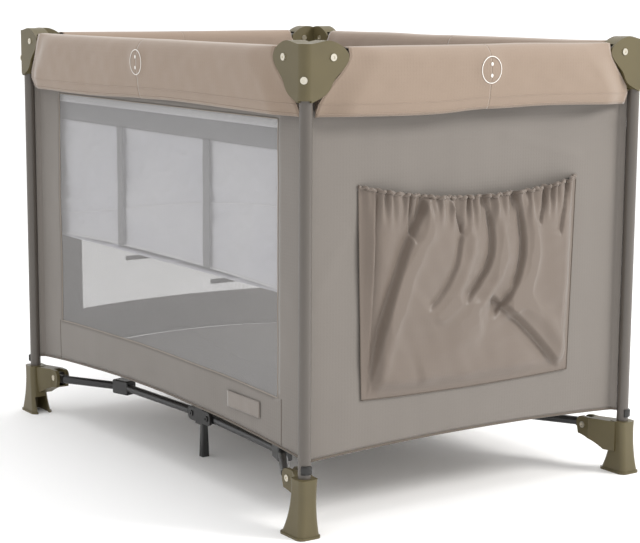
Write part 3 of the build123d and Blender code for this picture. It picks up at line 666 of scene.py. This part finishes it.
def panel_lines(half, window_side, top, bottom, window_high, window_low):
    """Grid lines of a panel, even between its own edges and its window's edges."""
    edge = half - window_side
    outer = half - PANEL_EDGE
    s = np.concatenate([
        -outer + PANEL_HEM * np.linspace(0, 1, 9)[:-1], np.linspace(-outer + PANEL_HEM, -edge, 9)[:-1],
        np.linspace(-edge, edge, 61)[:-1], np.linspace(edge, outer - PANEL_HEM, 9)[:-1],
        outer - PANEL_HEM * np.linspace(1, 0, 9),
    ])
    z = np.concatenate([
        np.linspace(bottom, window_low, 10)[:-1], np.linspace(window_low, window_high, 41)[:-1],
        np.linspace(window_high, top, 5),
    ])
    return s, z


def panel_surface(side, s, z, half, bottom, window_low, arch, seed, wave):
    """A panel's shape: its lower part arches up by a parabola, and its cloth waves between the posts."""
    rise = arch * (1 - (s / half) ** 2)
    lower = smooth_step((window_low + 0.10 - z) / (window_low + 0.10 - bottom))
    held = smooth_step((half - np.abs(s)) / 0.06)
    tucked = smooth_step((half - np.abs(s) - PANEL_EDGE) / 0.011)
    out = -PANEL_TUCK - (PANEL_DEPTH - PANEL_TUCK) * tucked
    out = out + wave * held * ripples(s, z, 0.22, seed) + 0.4 * wave * held * ripples(s, z, 0.07, seed + 1)
    return side_point(side, s, z + rise * lower, out), np.stack(np.broadcast_arrays(s, z), axis=-1)


def window_panel(side):
    """A side with a mesh window in a woven border, piped round the window and bound along its hem."""
    sizes = bpy.context.scene.yard_sizes
    _, _, half, _ = SIDES[side]
    bottom, top = PANEL_BOTTOM, PANEL_TOP
    lines_s, lines_z = panel_lines(half, sizes.window_side, top, bottom, sizes.window_high, sizes.window_low)
    s, z = np.meshgrid(lines_s, lines_z)
    points, uv = panel_surface(side, s, z, half, bottom, sizes.window_low, sizes.hem_arch, 21, 0.0011)
    edge = half - sizes.window_side
    mid_s, mid_z = (s[1:, 1:] + s[:-1, :-1]) / 2, (z[1:, 1:] + z[:-1, :-1]) / 2
    window = (np.abs(mid_s) < edge) & (mid_z > sizes.window_low) & (mid_z < sizes.window_high)
    body = f"post_{SIDE_POST[side]}"
    border = cloth_grid(
        f"panel_border_{side}", points, uv, "panel", body, keep=~window,
        thickness=sizes.cloth,
    )
    net = cloth_grid(f"window_mesh_{side}", points, uv, "mesh", body, keep=window)
    inside_s = np.flatnonzero(np.abs(lines_s) <= edge + 1e-6)
    inside_z = np.flatnonzero((lines_z >= sizes.window_low - 1e-6) & (lines_z <= sizes.window_high + 1e-6))
    low, high, left, right = inside_z[0], inside_z[-1], inside_s[0], inside_s[-1]
    loop = np.concatenate([
        points[low, left:right], points[low:high, right], points[high, right:left:-1],
        points[high:low:-1, left],
    ])
    outward = side_point(side, 0, 0, 0.0006) - side_point(side, 0, 0, 0)
    facing = (*SIDES[side][1], 0)
    seam = tube_along(
        f"window_seam_{side}", loop + outward, 0.0011, "piping", body, closed=True,
        normal=facing
    )
    hem = tube_along(
        f"panel_hem_{side}", points[0] + outward, 0.0021, "hem", body, normal=facing,
    )
    stitch = []
    for direction in (-1, 1):
        column = points[:, left - 1] if direction < 0 else points[:, right + 1]
        stitch.append(tube_along(
            f"panel_seam_{side}_{'a' if direction < 0 else 'b'}", column[: low + 1] + outward, 0.0007,
            "hem", body, normal=facing
        ))
    for piece in (border, net, seam, hem, *stitch):
        fold_squash(piece)
    return border


def end_panel(side):
    """The closed end of woven cloth, pulled tight over its posts, with drag lines under the rail cover."""
    sizes = bpy.context.scene.yard_sizes
    _, _, half, _ = SIDES[side]
    bottom, top = PANEL_BOTTOM, PANEL_TOP
    outer = half - PANEL_EDGE
    across = np.concatenate([
        -outer + PANEL_HEM * np.linspace(0, 1, 8)[:-1],
        np.linspace(-outer + PANEL_HEM, outer - PANEL_HEM, 100)[:-1],
        outer - PANEL_HEM * np.linspace(1, 0, 8),
    ])
    s, z = np.meshgrid(across, np.linspace(bottom, top, 100))
    points, uv = panel_surface(side, s, z, half, bottom, sizes.window_low, END_ARCH, 33, 0.0013)
    drag = 0.0016 * ripples(s * 0.25, z, 0.035, 7) * np.exp(-((0.628 - z) / 0.030) ** 2)
    drag += 0.0014 * ridge(s, z, (-half + 0.02, 0.600), (half - 0.05, 0.622), 0.004, 0.012)
    drag += 0.0012 * ridge(s, z, (-half + 0.02, 0.35), (-0.24, 0.47), 0.012)
    drag += 0.0012 * ridge(s, z, (0.05, 0.60), (0.24, 0.55), 0.008)
    points = points + drag[..., None] * (side_point(side, 0, 0, 1) - side_point(side, 0, 0, 0))
    body = f"post_{SIDE_POST[side]}"
    panel = cloth_grid(f"panel_{side}_cloth", points, uv, "panel", body, thickness=sizes.cloth)
    outward = side_point(side, 0, 0, 0.0006) - side_point(side, 0, 0, 0)
    facing = (*SIDES[side][1], 0)
    hem = tube_along(
        f"panel_hem_{side}", points[0] + outward, 0.0021, "hem", body, normal=facing,
    )
    for piece in (panel, hem):
        fold_squash(piece)
    return panel


def care_label():
    """A plain woven label sewn to the lower border of the front side, with nothing printed on it."""
    s, z = np.meshgrid(np.linspace(0.231, 0.331, 20), np.linspace(0.151, 0.178, 9))
    points = side_point("front", s, z, -0.0128 + 0.0004 * ripples(s, z, 0.03, 3))
    made = cloth_grid(
        "care_label", points, np.stack([s, z], axis=-1), "label", "post_fr",
        thickness=0.0004,
    )
    fold_squash(made)


# ---- the end pocket


def pocket_out(s, t):
    """How far the pocket stands out, for s from -1 to 1 across and t from 0 at its foot to 1 at its mouth.
    A bag sewn flat at its sides and foot, with the folds that its gathered mouth throws down the cloth."""
    sides = smooth_step((1 - np.abs(s)) / 0.16)
    foot = smooth_step(t / 0.10)
    bag = 0.0135 + 0.0075 * np.sin(np.pi * np.clip(t, 0, 1) * 0.85)
    folds = (
        -0.0110 * crease(s, t, (-0.88, 1.05), (-0.93, -0.05), 0.050, 0, -1)
        - 0.0075 * crease(s, t, (-0.62, 1.06), (-0.57, 0.76), 0.050, 0, -1)
        - 0.0175 * crease(s, t, (-0.36, 1.08), (-0.98, -0.08), 0.120, 0.085, 1)
        + 0.0050 * ridge(s, t, (-0.27, 1.02), (-0.90, 0.02), 0.060, 0.085)
        - 0.0080 * crease(s, t, (-0.28, 1.06), (-0.12, 0.79), 0.060, 0, -1)
        - 0.0085 * crease(s, t, (-0.12, 0.90), (-0.46, 0.42), 0.090, -0.09, 1)
        + 0.0040 * ridge(s, t, (-0.02, 0.86), (-0.40, 0.36), 0.050, -0.09)
        - 0.0130 * crease(s, t, (0.06, 1.06), (-0.12, 0.44), 0.090, -0.18, 1)
        + 0.0050 * ridge(s, t, (0.15, 1.02), (-0.04, 0.40), 0.050, -0.19)
        - 0.0145 * crease(s, t, (0.34, 1.06), (0.18, 0.34), 0.095, -0.19, 1)
        + 0.0050 * ridge(s, t, (0.44, 1.02), (0.27, 0.32), 0.052, -0.19)
        - 0.0145 * crease(s, t, (0.12, 0.50), (1.00, -0.06), 0.110, -0.03, 1)
        + 0.0050 * ridge(s, t, (0.26, 0.54), (1.00, 0.06), 0.050, -0.03)
        - 0.0070 * crease(s, t, (0.68, 1.06), (0.60, 0.80), 0.045, 0, 1)
        - 0.0070 * crease(s, t, (0.88, 1.06), (0.80, 0.72), 0.045, 0, 1)
        + 0.0040 * ridge(s, t, (-0.55, 0.10), (0.05, 0.42), 0.10, 0.04)
    )
    gather = smooth_step((t - 0.80) / 0.2)
    pleats = 0.0034 * np.sin(s * 70 + 2.2 * np.sin(s * 9)) * gather
    pleats = pleats + 0.0016 * np.sin(s * 113 + 1.7) * gather ** 2
    crumple = 0.0014 * ripples(s, t, 0.35, 71) + 0.0006 * ripples(s, t * 1.4, 0.12, 72)
    return 0.0012 + sides * foot * np.clip(bag + folds + pleats + crumple, 0.0014, 0.0235)


def pocket_line(s):
    """Height of the pocket's gathered mouth: it hangs in a shallow parabola from its two corners."""
    return 0.524 - 0.024 * (1 - s ** 2) - 0.003 * s


def end_pocket():
    """The gathered pocket, its elastic mouth and the seams that hold it to the end panel."""
    count_s, count_t = 240, 150
    s, t = np.meshgrid(np.linspace(-1, 1, count_s), np.linspace(0, 1, count_t))
    middle, half_top, half_foot = -0.005, 0.222, 0.213
    half = half_foot + (half_top - half_foot) * t
    mouth = pocket_line(s)
    foot = 0.1905 + 0.004 * s ** 2
    across = middle + half * s + 0.0015 * np.sin(s * 46) * smooth_step((t - 0.85) / 0.15) * (1 - s ** 2)
    up = foot + (mouth - foot) * t
    out = POCKET_PLANE + pocket_out(s, t)
    points = side_point("right", across, up, out)
    uv = np.stack([across, up], axis=-1)
    bag = cloth_grid("pocket_cloth", points, uv, "pocket", "post_fr", thickness=0.0009)
    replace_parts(bag, "pocket")
    rim_s = np.linspace(-1, 1, 260)
    ruffle = 0.0011 * np.sin(rim_s * 150) + 0.0006 * np.sin(rim_s * 71)
    rim = side_point(
        "right", middle + half_top * rim_s, pocket_line(rim_s) + 0.0015 + ruffle,
        POCKET_PLANE + pocket_out(rim_s, np.ones(260)) + 0.5 * ruffle
    )
    mouth_cord = tube_along("pocket_elastic", rim, 0.0030, "pocket", "post_fr", sides=10)
    edge = np.concatenate([points[::3, 0][::-1], points[0, ::4], points[::3, -1]])
    outward = side_point("right", 0, 0, 0.0006) - side_point("right", 0, 0, 0)
    seam = tube_along(
        "pocket_seam", edge + outward, 0.0008, "hem", "post_fr", sides=6, normal=(1, 0, 0),
    )
    for piece in (bag, mouth_cord, seam):
        fold_squash(piece)


# ---- floor


def floor_cloth():
    """The floor in four quarters, each on its corner's lower tube, slack between the tubes."""
    sizes = bpy.context.scene.yard_sizes
    reach_x, reach_y = HX - 0.017, HY - 0.017
    x, y = np.meshgrid(np.linspace(0, reach_x, 70), np.linspace(0, reach_y, 50))
    hub = 0.036
    away = np.hypot(x, y)
    keep = ((away[1:, 1:] + away[:-1, :-1]) / 2) > hub
    low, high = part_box("floor_sheet")
    slack = 0.0016 * ripples(x, y, 0.20, 51) * smooth_step((reach_x - x) / 0.05)
    slack = slack * smooth_step((reach_y - y) / 0.05)
    level = (low.z + high.z) / 2 + slack - 0.0010
    side_rise = sizes.hem_arch * (1 - (x / HX) ** 2) * smooth_step((y - HY + 0.25) / 0.25)
    end_share = (1 - (y / HY) ** 2) * smooth_step((x - HX + 0.25) / 0.25)
    for corner, sx, sy in (("fr", 1, -1), ("fl", -1, -1), ("br", 1, 1), ("bl", -1, 1)):
        end_rise = (END_ARCH if sx > 0 else sizes.hem_arch) * end_share
        points = np.stack([x * sx, y * sy, level + np.maximum(side_rise, end_rise)], axis=-1)
        made = cloth_grid(
            f"floor_{corner}", points, np.stack([x, y], axis=-1), "floor", f"tube_{corner}",
            keep=keep, thickness=sizes.cloth, flip=sx * sy < 0,
        )
        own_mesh(made)
        if corner == "fr":
            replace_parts(made, "floor_sheet")


def pull_handle():
    """The webbing loop over the centre hub: a flat band carried along a tall arch."""
    low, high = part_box("pull_handle")
    half = (high.x - low.x) / 2 - 0.006
    t = np.linspace(0, 1, 60)
    angle = np.pi * t
    x = half * np.cos(angle) * (1 - 0.15 * np.sin(angle) ** 4)
    z = low.z + (high.z - low.z - 0.002) * np.sin(angle) ** 0.75
    y = np.linspace(-0.0095, 0.0095, 9)
    points = np.stack(
        np.broadcast_arrays(x[:, None], y[None] * (1 - 0.1 * np.sin(angle)[:, None]), z[:, None]), axis=-1,
    )
    run = np.concatenate([[0], np.cumsum(np.hypot(np.diff(x), np.diff(z)))])
    uv = np.stack(np.broadcast_arrays(run[:, None], y[None]), axis=-1)
    made = cloth_grid("handle_loop", points, uv, "webbing", "centre_hub", thickness=0.0018)
    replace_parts(made, "pull_handle")


# ---- bassinet


def bassinet_wall(side):
    """One wall of the bassinet: crumpled pale cloth below, a grey band, white tape and the upper cloth."""
    _, _, half, _ = SIDES[side]
    low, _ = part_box("bassinet")
    inset = WALL_INSET
    reach = half - inset
    bottom = low.z + 0.002
    long_side = half > 0.4
    s = np.linspace(-reach, reach, 150)
    arch = 0.012 * (1 - (s / reach) ** 2)
    layers = (
        ("cloth", bottom, 0.580, 90, 0.0052, "lining"), ("band", 0.580, 0.615, 6, 0.0006, "band"),
        ("tape", 0.615, 0.629, 4, 0.0004, "tape"), ("upper", 0.629, 0.688, 8, 0.0008, "panel"),
    )
    for name, z_low, z_high, count, wave, finish in layers:
        t = np.linspace(0, 1, count)[:, None]
        start = z_low + (arch if name == "cloth" else 0)
        z = start + (z_high - start) * t
        calm = smooth_step(t / 0.15) * smooth_step((1 - t) / 0.15) if name == "cloth" else 1.0
        crumple = (
            ripples(s[None], z, 0.13, 61) - 0.9 * np.abs(ripples(s[None], z, 0.07, 62))
            - 0.5 * np.abs(ripples(s[None], z, 0.03, 63))
        )
        out = -inset - 0.0040 + wave * crumple * calm
        out = out + (0.0060 if name == "tape" else 0)
        points = side_point(side, s[None], z, out)
        uv = np.stack(np.broadcast_arrays(s[None], z), axis=-1)
        made = cloth_grid(
            f"bassinet_{name}_{side}", points, uv, finish, "bassinet", thickness=0.0010,
        )
        if name == "cloth" and side == "front":
            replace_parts(made, "bassinet")
    for number, share in enumerate((-1 / 3, 1 / 3) if long_side else (0.0,), start=1):
        across = np.linspace(-0.011, 0.011, 6)
        up = np.linspace(bottom + 0.010, 0.582, 50)
        strap_s, strap_z = np.meshgrid(share * reach + across, up)
        points = side_point(
            side, strap_s, strap_z, -inset + 0.0024 + 0.0006 * ripples(strap_s, strap_z, 0.09, 64),
        )
        strap = cloth_grid(
            f"bassinet_strap_{side}_{number}", points, np.stack([strap_s, strap_z], axis=-1), "band",
            "bassinet", thickness=0.001
        )
    # On the front wall a thin cord in the white tape finish is a painted highlight. It stands for the light
    # caught along a crease of the cloth.
    if side == "front":
        painted_sheen_line = side_point(
            side, s, 0.397 + 0.098 * smooth_step((s / reach + 1) / 2) ** 0.7, -inset - 0.0020,
        )
        tube_along(
            "bassinet_painted_sheen", painted_sheen_line, 0.0013, "tape", "bassinet",
            normal=(0, -1, 0),
        )
    hem_path = side_point(side, s, bottom + arch, -inset - 0.0035)
    tube_along(
        f"bassinet_hem_{side}", hem_path, 0.0024, "tape", "bassinet",
        normal=(*SIDES[side][1], 0)
    )


def bassinet_floor():
    """The bassinet's floor under the mattress."""
    low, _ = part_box("bassinet")
    x, y = np.meshgrid(np.linspace(-HX + 0.029, HX - 0.029, 60), np.linspace(-HY + 0.029, HY - 0.029, 44))
    z = low.z + 0.0008 + 0.0006 * ripples(x, y, 0.2, 81)
    made = cloth_grid(
        "bassinet_floor", np.stack([x, y, z], axis=-1), np.stack([x, y], axis=-1), "lining", "bassinet",
        thickness=0.001,
    )


# ---- mattress


def pad_mesh(name, low, high, inset):
    """The pad's start shape as a plain subdivided box, ready for remeshing."""
    nx, ny = 24, 60
    x = np.linspace(low[0] + inset, high[0] - inset, nx)
    y = np.linspace(low[1] + inset, high[1] - inset, ny)
    gx, gy = np.meshgrid(x, y, indexing="ij")
    top = np.stack([gx, gy, np.full_like(gx, high[2] - inset)], axis=-1).reshape(-1, 3)
    base = np.stack([gx, gy, np.full_like(gx, low[2] + inset)], axis=-1).reshape(-1, 3)
    faces_top = grid_faces(nx, ny)
    count = nx * ny
    index = np.arange(count).reshape(nx, ny)
    rim = np.concatenate([index[:, 0], index[-1, 1:], index[-2::-1, -1], index[0, -2:0:-1]])
    after = np.roll(rim, -1)
    sides = np.stack([rim, after, after + count, rim + count], axis=1)
    faces = np.vstack([faces_top, faces_top[:, ::-1] + count, sides])
    made = make_object(name, np.vstack([top, base]), faces, None, None, None)
    turn_outward(made)
    return made


def apply_modifiers(made):
    """Replaces a mesh by what its modifiers give."""
    bpy.context.view_layer.update()
    graph = bpy.context.evaluated_depsgraph_get()
    mesh = bpy.data.meshes.new_from_object(made.evaluated_get(graph))
    made.modifiers.clear()
    made.data = mesh


def points_of(made):
    values = np.empty(len(made.data.vertices) * 3, dtype=np.float32)
    made.data.vertices.foreach_get("co", values)
    return values.reshape(-1, 3).astype(float)


def set_points(made, points):
    made.data.vertices.foreach_set("co", points.astype(np.float32).ravel())
    made.data.update()


def swell(made, voxel, pressure, steps, cap):
    """Blows a pad up as stuffed cloth, by inner pressure and no gravity, each point moved at most cap."""
    remesh = made.modifiers.new("even cloth", "REMESH")
    remesh.mode = "VOXEL"
    remesh.voxel_size = voxel
    apply_modifiers(made)
    rest = points_of(made)
    cloth = made.modifiers.new("stuffing", "CLOTH")
    cloth.settings.quality = 5
    cloth.settings.use_pressure = True
    cloth.settings.uniform_pressure_force = pressure
    cloth.settings.effector_weights.gravity = 0
    scene = bpy.context.scene
    for step in range(1, steps + 1):
        scene.frame_set(step)
    apply_modifiers(made)
    scene.frame_set(1)
    moved = points_of(made) - rest
    far = np.linalg.norm(moved, axis=1, keepdims=True)
    set_points(made, rest + moved * np.minimum(1, cap / np.maximum(far, 1e-9)))


def quilt(made, low, high):
    """Presses a diamond net of stitched lines into a pad's top, and settles its underside flat."""
    points = points_of(made)
    u, v = points[:, 0] - low[0], points[:, 1] - low[1]
    step = 0.075
    net = np.minimum(np.abs((u + v) % step - step / 2), np.abs((u - v) % step - step / 2))
    channel = np.exp(-((net / 0.0045) ** 2))
    margin = np.minimum.reduce([u, high[0] - points[:, 0], v, high[1] - points[:, 1]])
    inside = smooth_step((margin - 0.012) / 0.02)
    upper = points[:, 2] > (low[2] + high[2]) / 2
    points[:, 2] -= np.where(upper, 0.0022 * channel * inside, 0)
    points[:, 2] = np.clip(points[:, 2], low[2] + 0.0004, high[2])
    points[:, 0] = np.clip(points[:, 0], low[0], high[0])
    points[:, 1] = np.clip(points[:, 1], low[1], high[1])
    set_points(made, points)


def mattress_section(number):
    """One board of the mattress: a stuffed, quilted pad with a piped edge, that folds on its neighbours."""
    node = f"mattress_{number}"
    low, high = (np.array(corner[:]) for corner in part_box(node))
    pad = pad_mesh(f"mattress_pad_{number}", low, high, 0.0030)
    swell(pad, 0.0055, 4.0, 16, 0.004)
    quilt(pad, low, high)
    pad.data.materials.clear()
    pad.data.materials.append(MATERIALS["mattress"])
    smooth = pad.modifiers.new("finish", "SUBSURF")
    smooth.levels = smooth.render_levels = 1
    apply_modifiers(pad)
    pad.data.polygons.foreach_set("use_smooth", np.ones(len(pad.data.polygons), dtype=bool))
    flatten_uv(pad)
    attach(pad, node)
    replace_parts(pad, node)
    turn = np.linspace(0, 1, 161)[:-1]
    rx, ry, corner = (high[0] - low[0]) / 2 - 0.0022, (high[1] - low[1]) / 2 - 0.0022, 0.02
    path = rounded_rectangle(rx, ry, corner, turn)
    middle = (low + high) / 2
    path = np.stack(
        [path[:, 0] + middle[0], path[:, 1] + middle[1], np.full(len(turn), high[2] - 0.0045)], axis=1,
    )
    tube_along(f"mattress_piping_{number}", path, 0.0021, "tape", node, closed=True)


def rounded_rectangle(rx, ry, corner, turn):
    """Points at even steps round a rectangle with round corners: straight runs and quarter circles."""
    quarter = np.linspace(0, np.pi / 2, 9)
    arcs = []
    for start, sx, sy in ((0, 1, 1), (1, -1, 1), (2, -1, -1), (3, 1, -1)):
        angle = quarter + start * np.pi / 2
        arc_x = sx * (rx - corner) + corner * np.cos(angle)
        arcs.append(np.stack([arc_x, sy * (ry - corner) + corner * np.sin(angle)], 1))
    loop = np.vstack([*arcs, arcs[0][:1]])
    run = np.concatenate([[0], np.cumsum(np.hypot(*np.diff(loop, axis=0).T))])
    return np.stack([np.interp(turn * run[-1], run, loop[:, i]) for i in (0, 1)], axis=1)


def flatten_uv(made):
    """A UV map in metres seen from above."""
    layer = made.data.uv_layers.new(name="cloth")
    corners = np.empty(len(made.data.loops), dtype=np.int64)
    made.data.loops.foreach_get("vertex_index", corners)
    layer.data.foreach_set("uv", points_of(made)[corners][:, :2].astype(np.float32).ravel())


# ---- stage


def stage_floor():
    """A plain pale floor that curves up into a backdrop."""
    run = np.linspace(0, 1, 60)
    y = np.where(run < 0.6, -5 + run / 0.6 * 9, 4 + 1.6 * np.sin((run - 0.6) / 0.4 * np.pi / 2))
    z = np.where(run < 0.6, 0, 1.6 * (1 - np.cos((run - 0.6) / 0.4 * np.pi / 2)) * 2)
    x = np.linspace(-7, 7, 12)
    turn = np.radians(CAMERA_AZIMUTH)
    gx, gy = np.meshgrid(x, y)
    points = np.stack([
        gx * np.cos(turn) - gy * np.sin(turn), gx * np.sin(turn) + gy * np.cos(turn),
        np.broadcast_to(z[:, None], gx.shape),
    ], axis=-1)
    material, tree, shader = new_material("matt white studio paper")
    place = add_node(tree, "ShaderNodeTexCoord")
    grain = add_node(tree, "ShaderNodeTexNoise", {"Vector": (place, "Object"), "Scale": 300.0})
    bump = add_node(tree, "ShaderNodeBump", {"Height": (grain, "Fac"), "Strength": 0.05, "Distance": 0.0002})
    tree.links.new(bump.outputs["Normal"], shader.inputs["Normal"])
    shader.inputs["Base Color"].default_value = rgba(linear("#FFFFFF"))
    shader.inputs["Roughness"].default_value = 0.9
    floor = make_object("studio_floor", points.reshape(-1, 3), grid_faces(60, 12)[:, ::-1])
    floor.data.materials.append(material)


# The camera: where it stands, in metres, its azimuth, its pitch below level, its roll and its lens.
CAMERA_PLACE = (2.576, -1.730, 0.8186)
CAMERA_AZIMUTH = 55.79
CAMERA_PITCH = 9.22
CAMERA_ROLL = 0.33
CAMERA_LENS = 96.4


def place_camera():
    """A long lens at the height of the rails, looking down a little at the near corner."""
    azimuth, pitch, roll = np.radians([CAMERA_AZIMUTH, CAMERA_PITCH, CAMERA_ROLL])
    back = Vector((np.sin(azimuth) * np.cos(pitch), -np.cos(azimuth) * np.cos(pitch), np.sin(pitch)))
    right = Vector((np.cos(azimuth), np.sin(azimuth), 0))
    up = back.cross(right)
    right_now = right * np.cos(roll) + up * np.sin(roll)
    up_now = up * np.cos(roll) - right * np.sin(roll)
    data = bpy.data.cameras.new("camera")
    data.lens = CAMERA_LENS
    data.sensor_width = 36
    camera = bpy.data.objects.new("camera", data)
    turned = Matrix((right_now, up_now, back)).transposed().to_4x4()
    camera.matrix_world = Matrix.Translation(CAMERA_PLACE) @ turned
    bpy.context.collection.objects.link(camera)
    bpy.context.scene.camera = camera


def soft_light(name, place, size, power, colour):
    data = bpy.data.lights.new(name, "AREA")
    data.energy, data.size, data.color = power, size, linear(colour)
    light = bpy.data.objects.new(name, data)
    light.location = place
    light.rotation_euler = (Vector((0, 0, 0.4)) - Vector(place)).to_track_quat("-Z", "Y").to_euler()
    bpy.context.collection.objects.link(light)


def studio_light():
    """A bright even room with one large soft light on the pocket side."""
    world = bpy.data.worlds.new("studio")
    world.use_nodes = True
    world.node_tree.nodes["Background"].inputs["Color"].default_value = rgba(linear("#FFFFFF"))
    world.node_tree.nodes["Background"].inputs["Strength"].default_value = 1.0
    bpy.context.scene.world = world
    soft_light("key", (2.8, 2.3, 2.5), 1.3, 105, "#FFFDFA")
    soft_light("fill", (-1.2, -3.8, 1.8), 2.6, 4, "#FFFBF6")
    soft_light("top", (0, 0, 3.6), 3.0, 46, "#FFFFFF")
    bpy.context.scene.view_settings.view_transform = "Standard"


# ---- operators


class YARD_OT_stage(bpy.types.Operator):
    """Add the floor, the lights and the camera"""

    bl_idname = "yard.stage"
    bl_label = "Stage"

    def execute(self, context):
        stage_floor()
        studio_light()
        place_camera()
        return {"FINISHED"}


class YARD_OT_finishes(bpy.types.Operator):
    """Make the materials and give the frame its finishes"""

    bl_idname = "yard.finishes"
    bl_label = "Finishes"

    def execute(self, context):
        build_materials()
        finish_frame()
        post_clips()
        return {"FINISHED"}


class YARD_OT_rail_covers(bpy.types.Operator):
    """Add the padded covers of the top rails, a half to each half rail"""

    bl_idname = "yard.rail_covers"
    bl_label = "Rail Covers"

    def execute(self, context):
        halves = {"front": "lr", "back": "rl", "right": "fb", "left": "bf"}
        for side, (low_end, high_end) in halves.items():
            first = rail_cover_half(side, low_end, -1)
            rail_cover_half(side, high_end, 1)
            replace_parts(first, f"cover_{side}")
            badge_ring(side)
        return {"FINISHED"}


class YARD_OT_panels(bpy.types.Operator):
    """Add the sides: three with mesh windows and the closed end"""

    bl_idname = "yard.panels"
    bl_label = "Side Panels"

    def execute(self, context):
        for side in ("front", "back", "left"):
            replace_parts(window_panel(side), f"panel_{side}")
        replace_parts(end_panel("right"), "panel_right")
        care_label()
        return {"FINISHED"}


class YARD_OT_pocket(bpy.types.Operator):
    """Add the gathered pocket on the closed end"""

    bl_idname = "yard.pocket"
    bl_label = "End Pocket"

    def execute(self, context):
        end_pocket()
        return {"FINISHED"}


class YARD_OT_floor(bpy.types.Operator):
    """Add the sewn-in floor and the fold handle"""

    bl_idname = "yard.floor"
    bl_label = "Floor and Handle"

    def execute(self, context):
        floor_cloth()
        pull_handle()
        return {"FINISHED"}


class YARD_OT_bassinet(bpy.types.Operator):
    """Add the hanging bassinet"""

    bl_idname = "yard.bassinet"
    bl_label = "Bassinet"

    def execute(self, context):
        for side in SIDES:
            bassinet_wall(side)
        bassinet_floor()
        return {"FINISHED"}


class YARD_OT_mattress(bpy.types.Operator):
    """Add the four hinged sections of the mattress"""

    bl_idname = "yard.mattress"
    bl_label = "Mattress"

    def execute(self, context):
        for number in range(1, 5):
            mattress_section(number)
        return {"FINISHED"}


OPERATORS = (
    YARD_OT_finishes, YARD_OT_rail_covers, YARD_OT_panels, YARD_OT_pocket, YARD_OT_floor,
    YARD_OT_bassinet, YARD_OT_mattress, YARD_OT_stage,
)


class YARD_PT_build(bpy.types.Panel):
    """The play yard's pieces, in the order they are made"""

    bl_label = "Play Yard"
    bl_space_type = "VIEW_3D"
    bl_region_type = "UI"
    bl_category = "Play Yard"

    def draw(self, context):
        layout = self.layout
        for group in (context.scene.yard_sizes, context.scene.yard_colours):
            for name in type(group).__annotations__:
                layout.prop(group, name)
        for operator in OPERATORS:
            layout.operator(operator.bl_idname)


CLASSES = (YardColours, YardSizes, *OPERATORS, YARD_PT_build)


def register():
    for item in CLASSES:
        bpy.utils.register_class(item)
    bpy.types.Scene.yard_colours = bpy.props.PointerProperty(type=YardColours)
    bpy.types.Scene.yard_sizes = bpy.props.PointerProperty(type=YardSizes)


def unregister():
    del bpy.types.Scene.yard_colours
    del bpy.types.Scene.yard_sizes
    for item in reversed(CLASSES):
        bpy.utils.unregister_class(item)


def main():
    register()
    for operator in OPERATORS:
        group, action = operator.bl_idname.split(".")
        getattr(getattr(bpy.ops, group), action)()


if __name__ == "__main__":
    main()
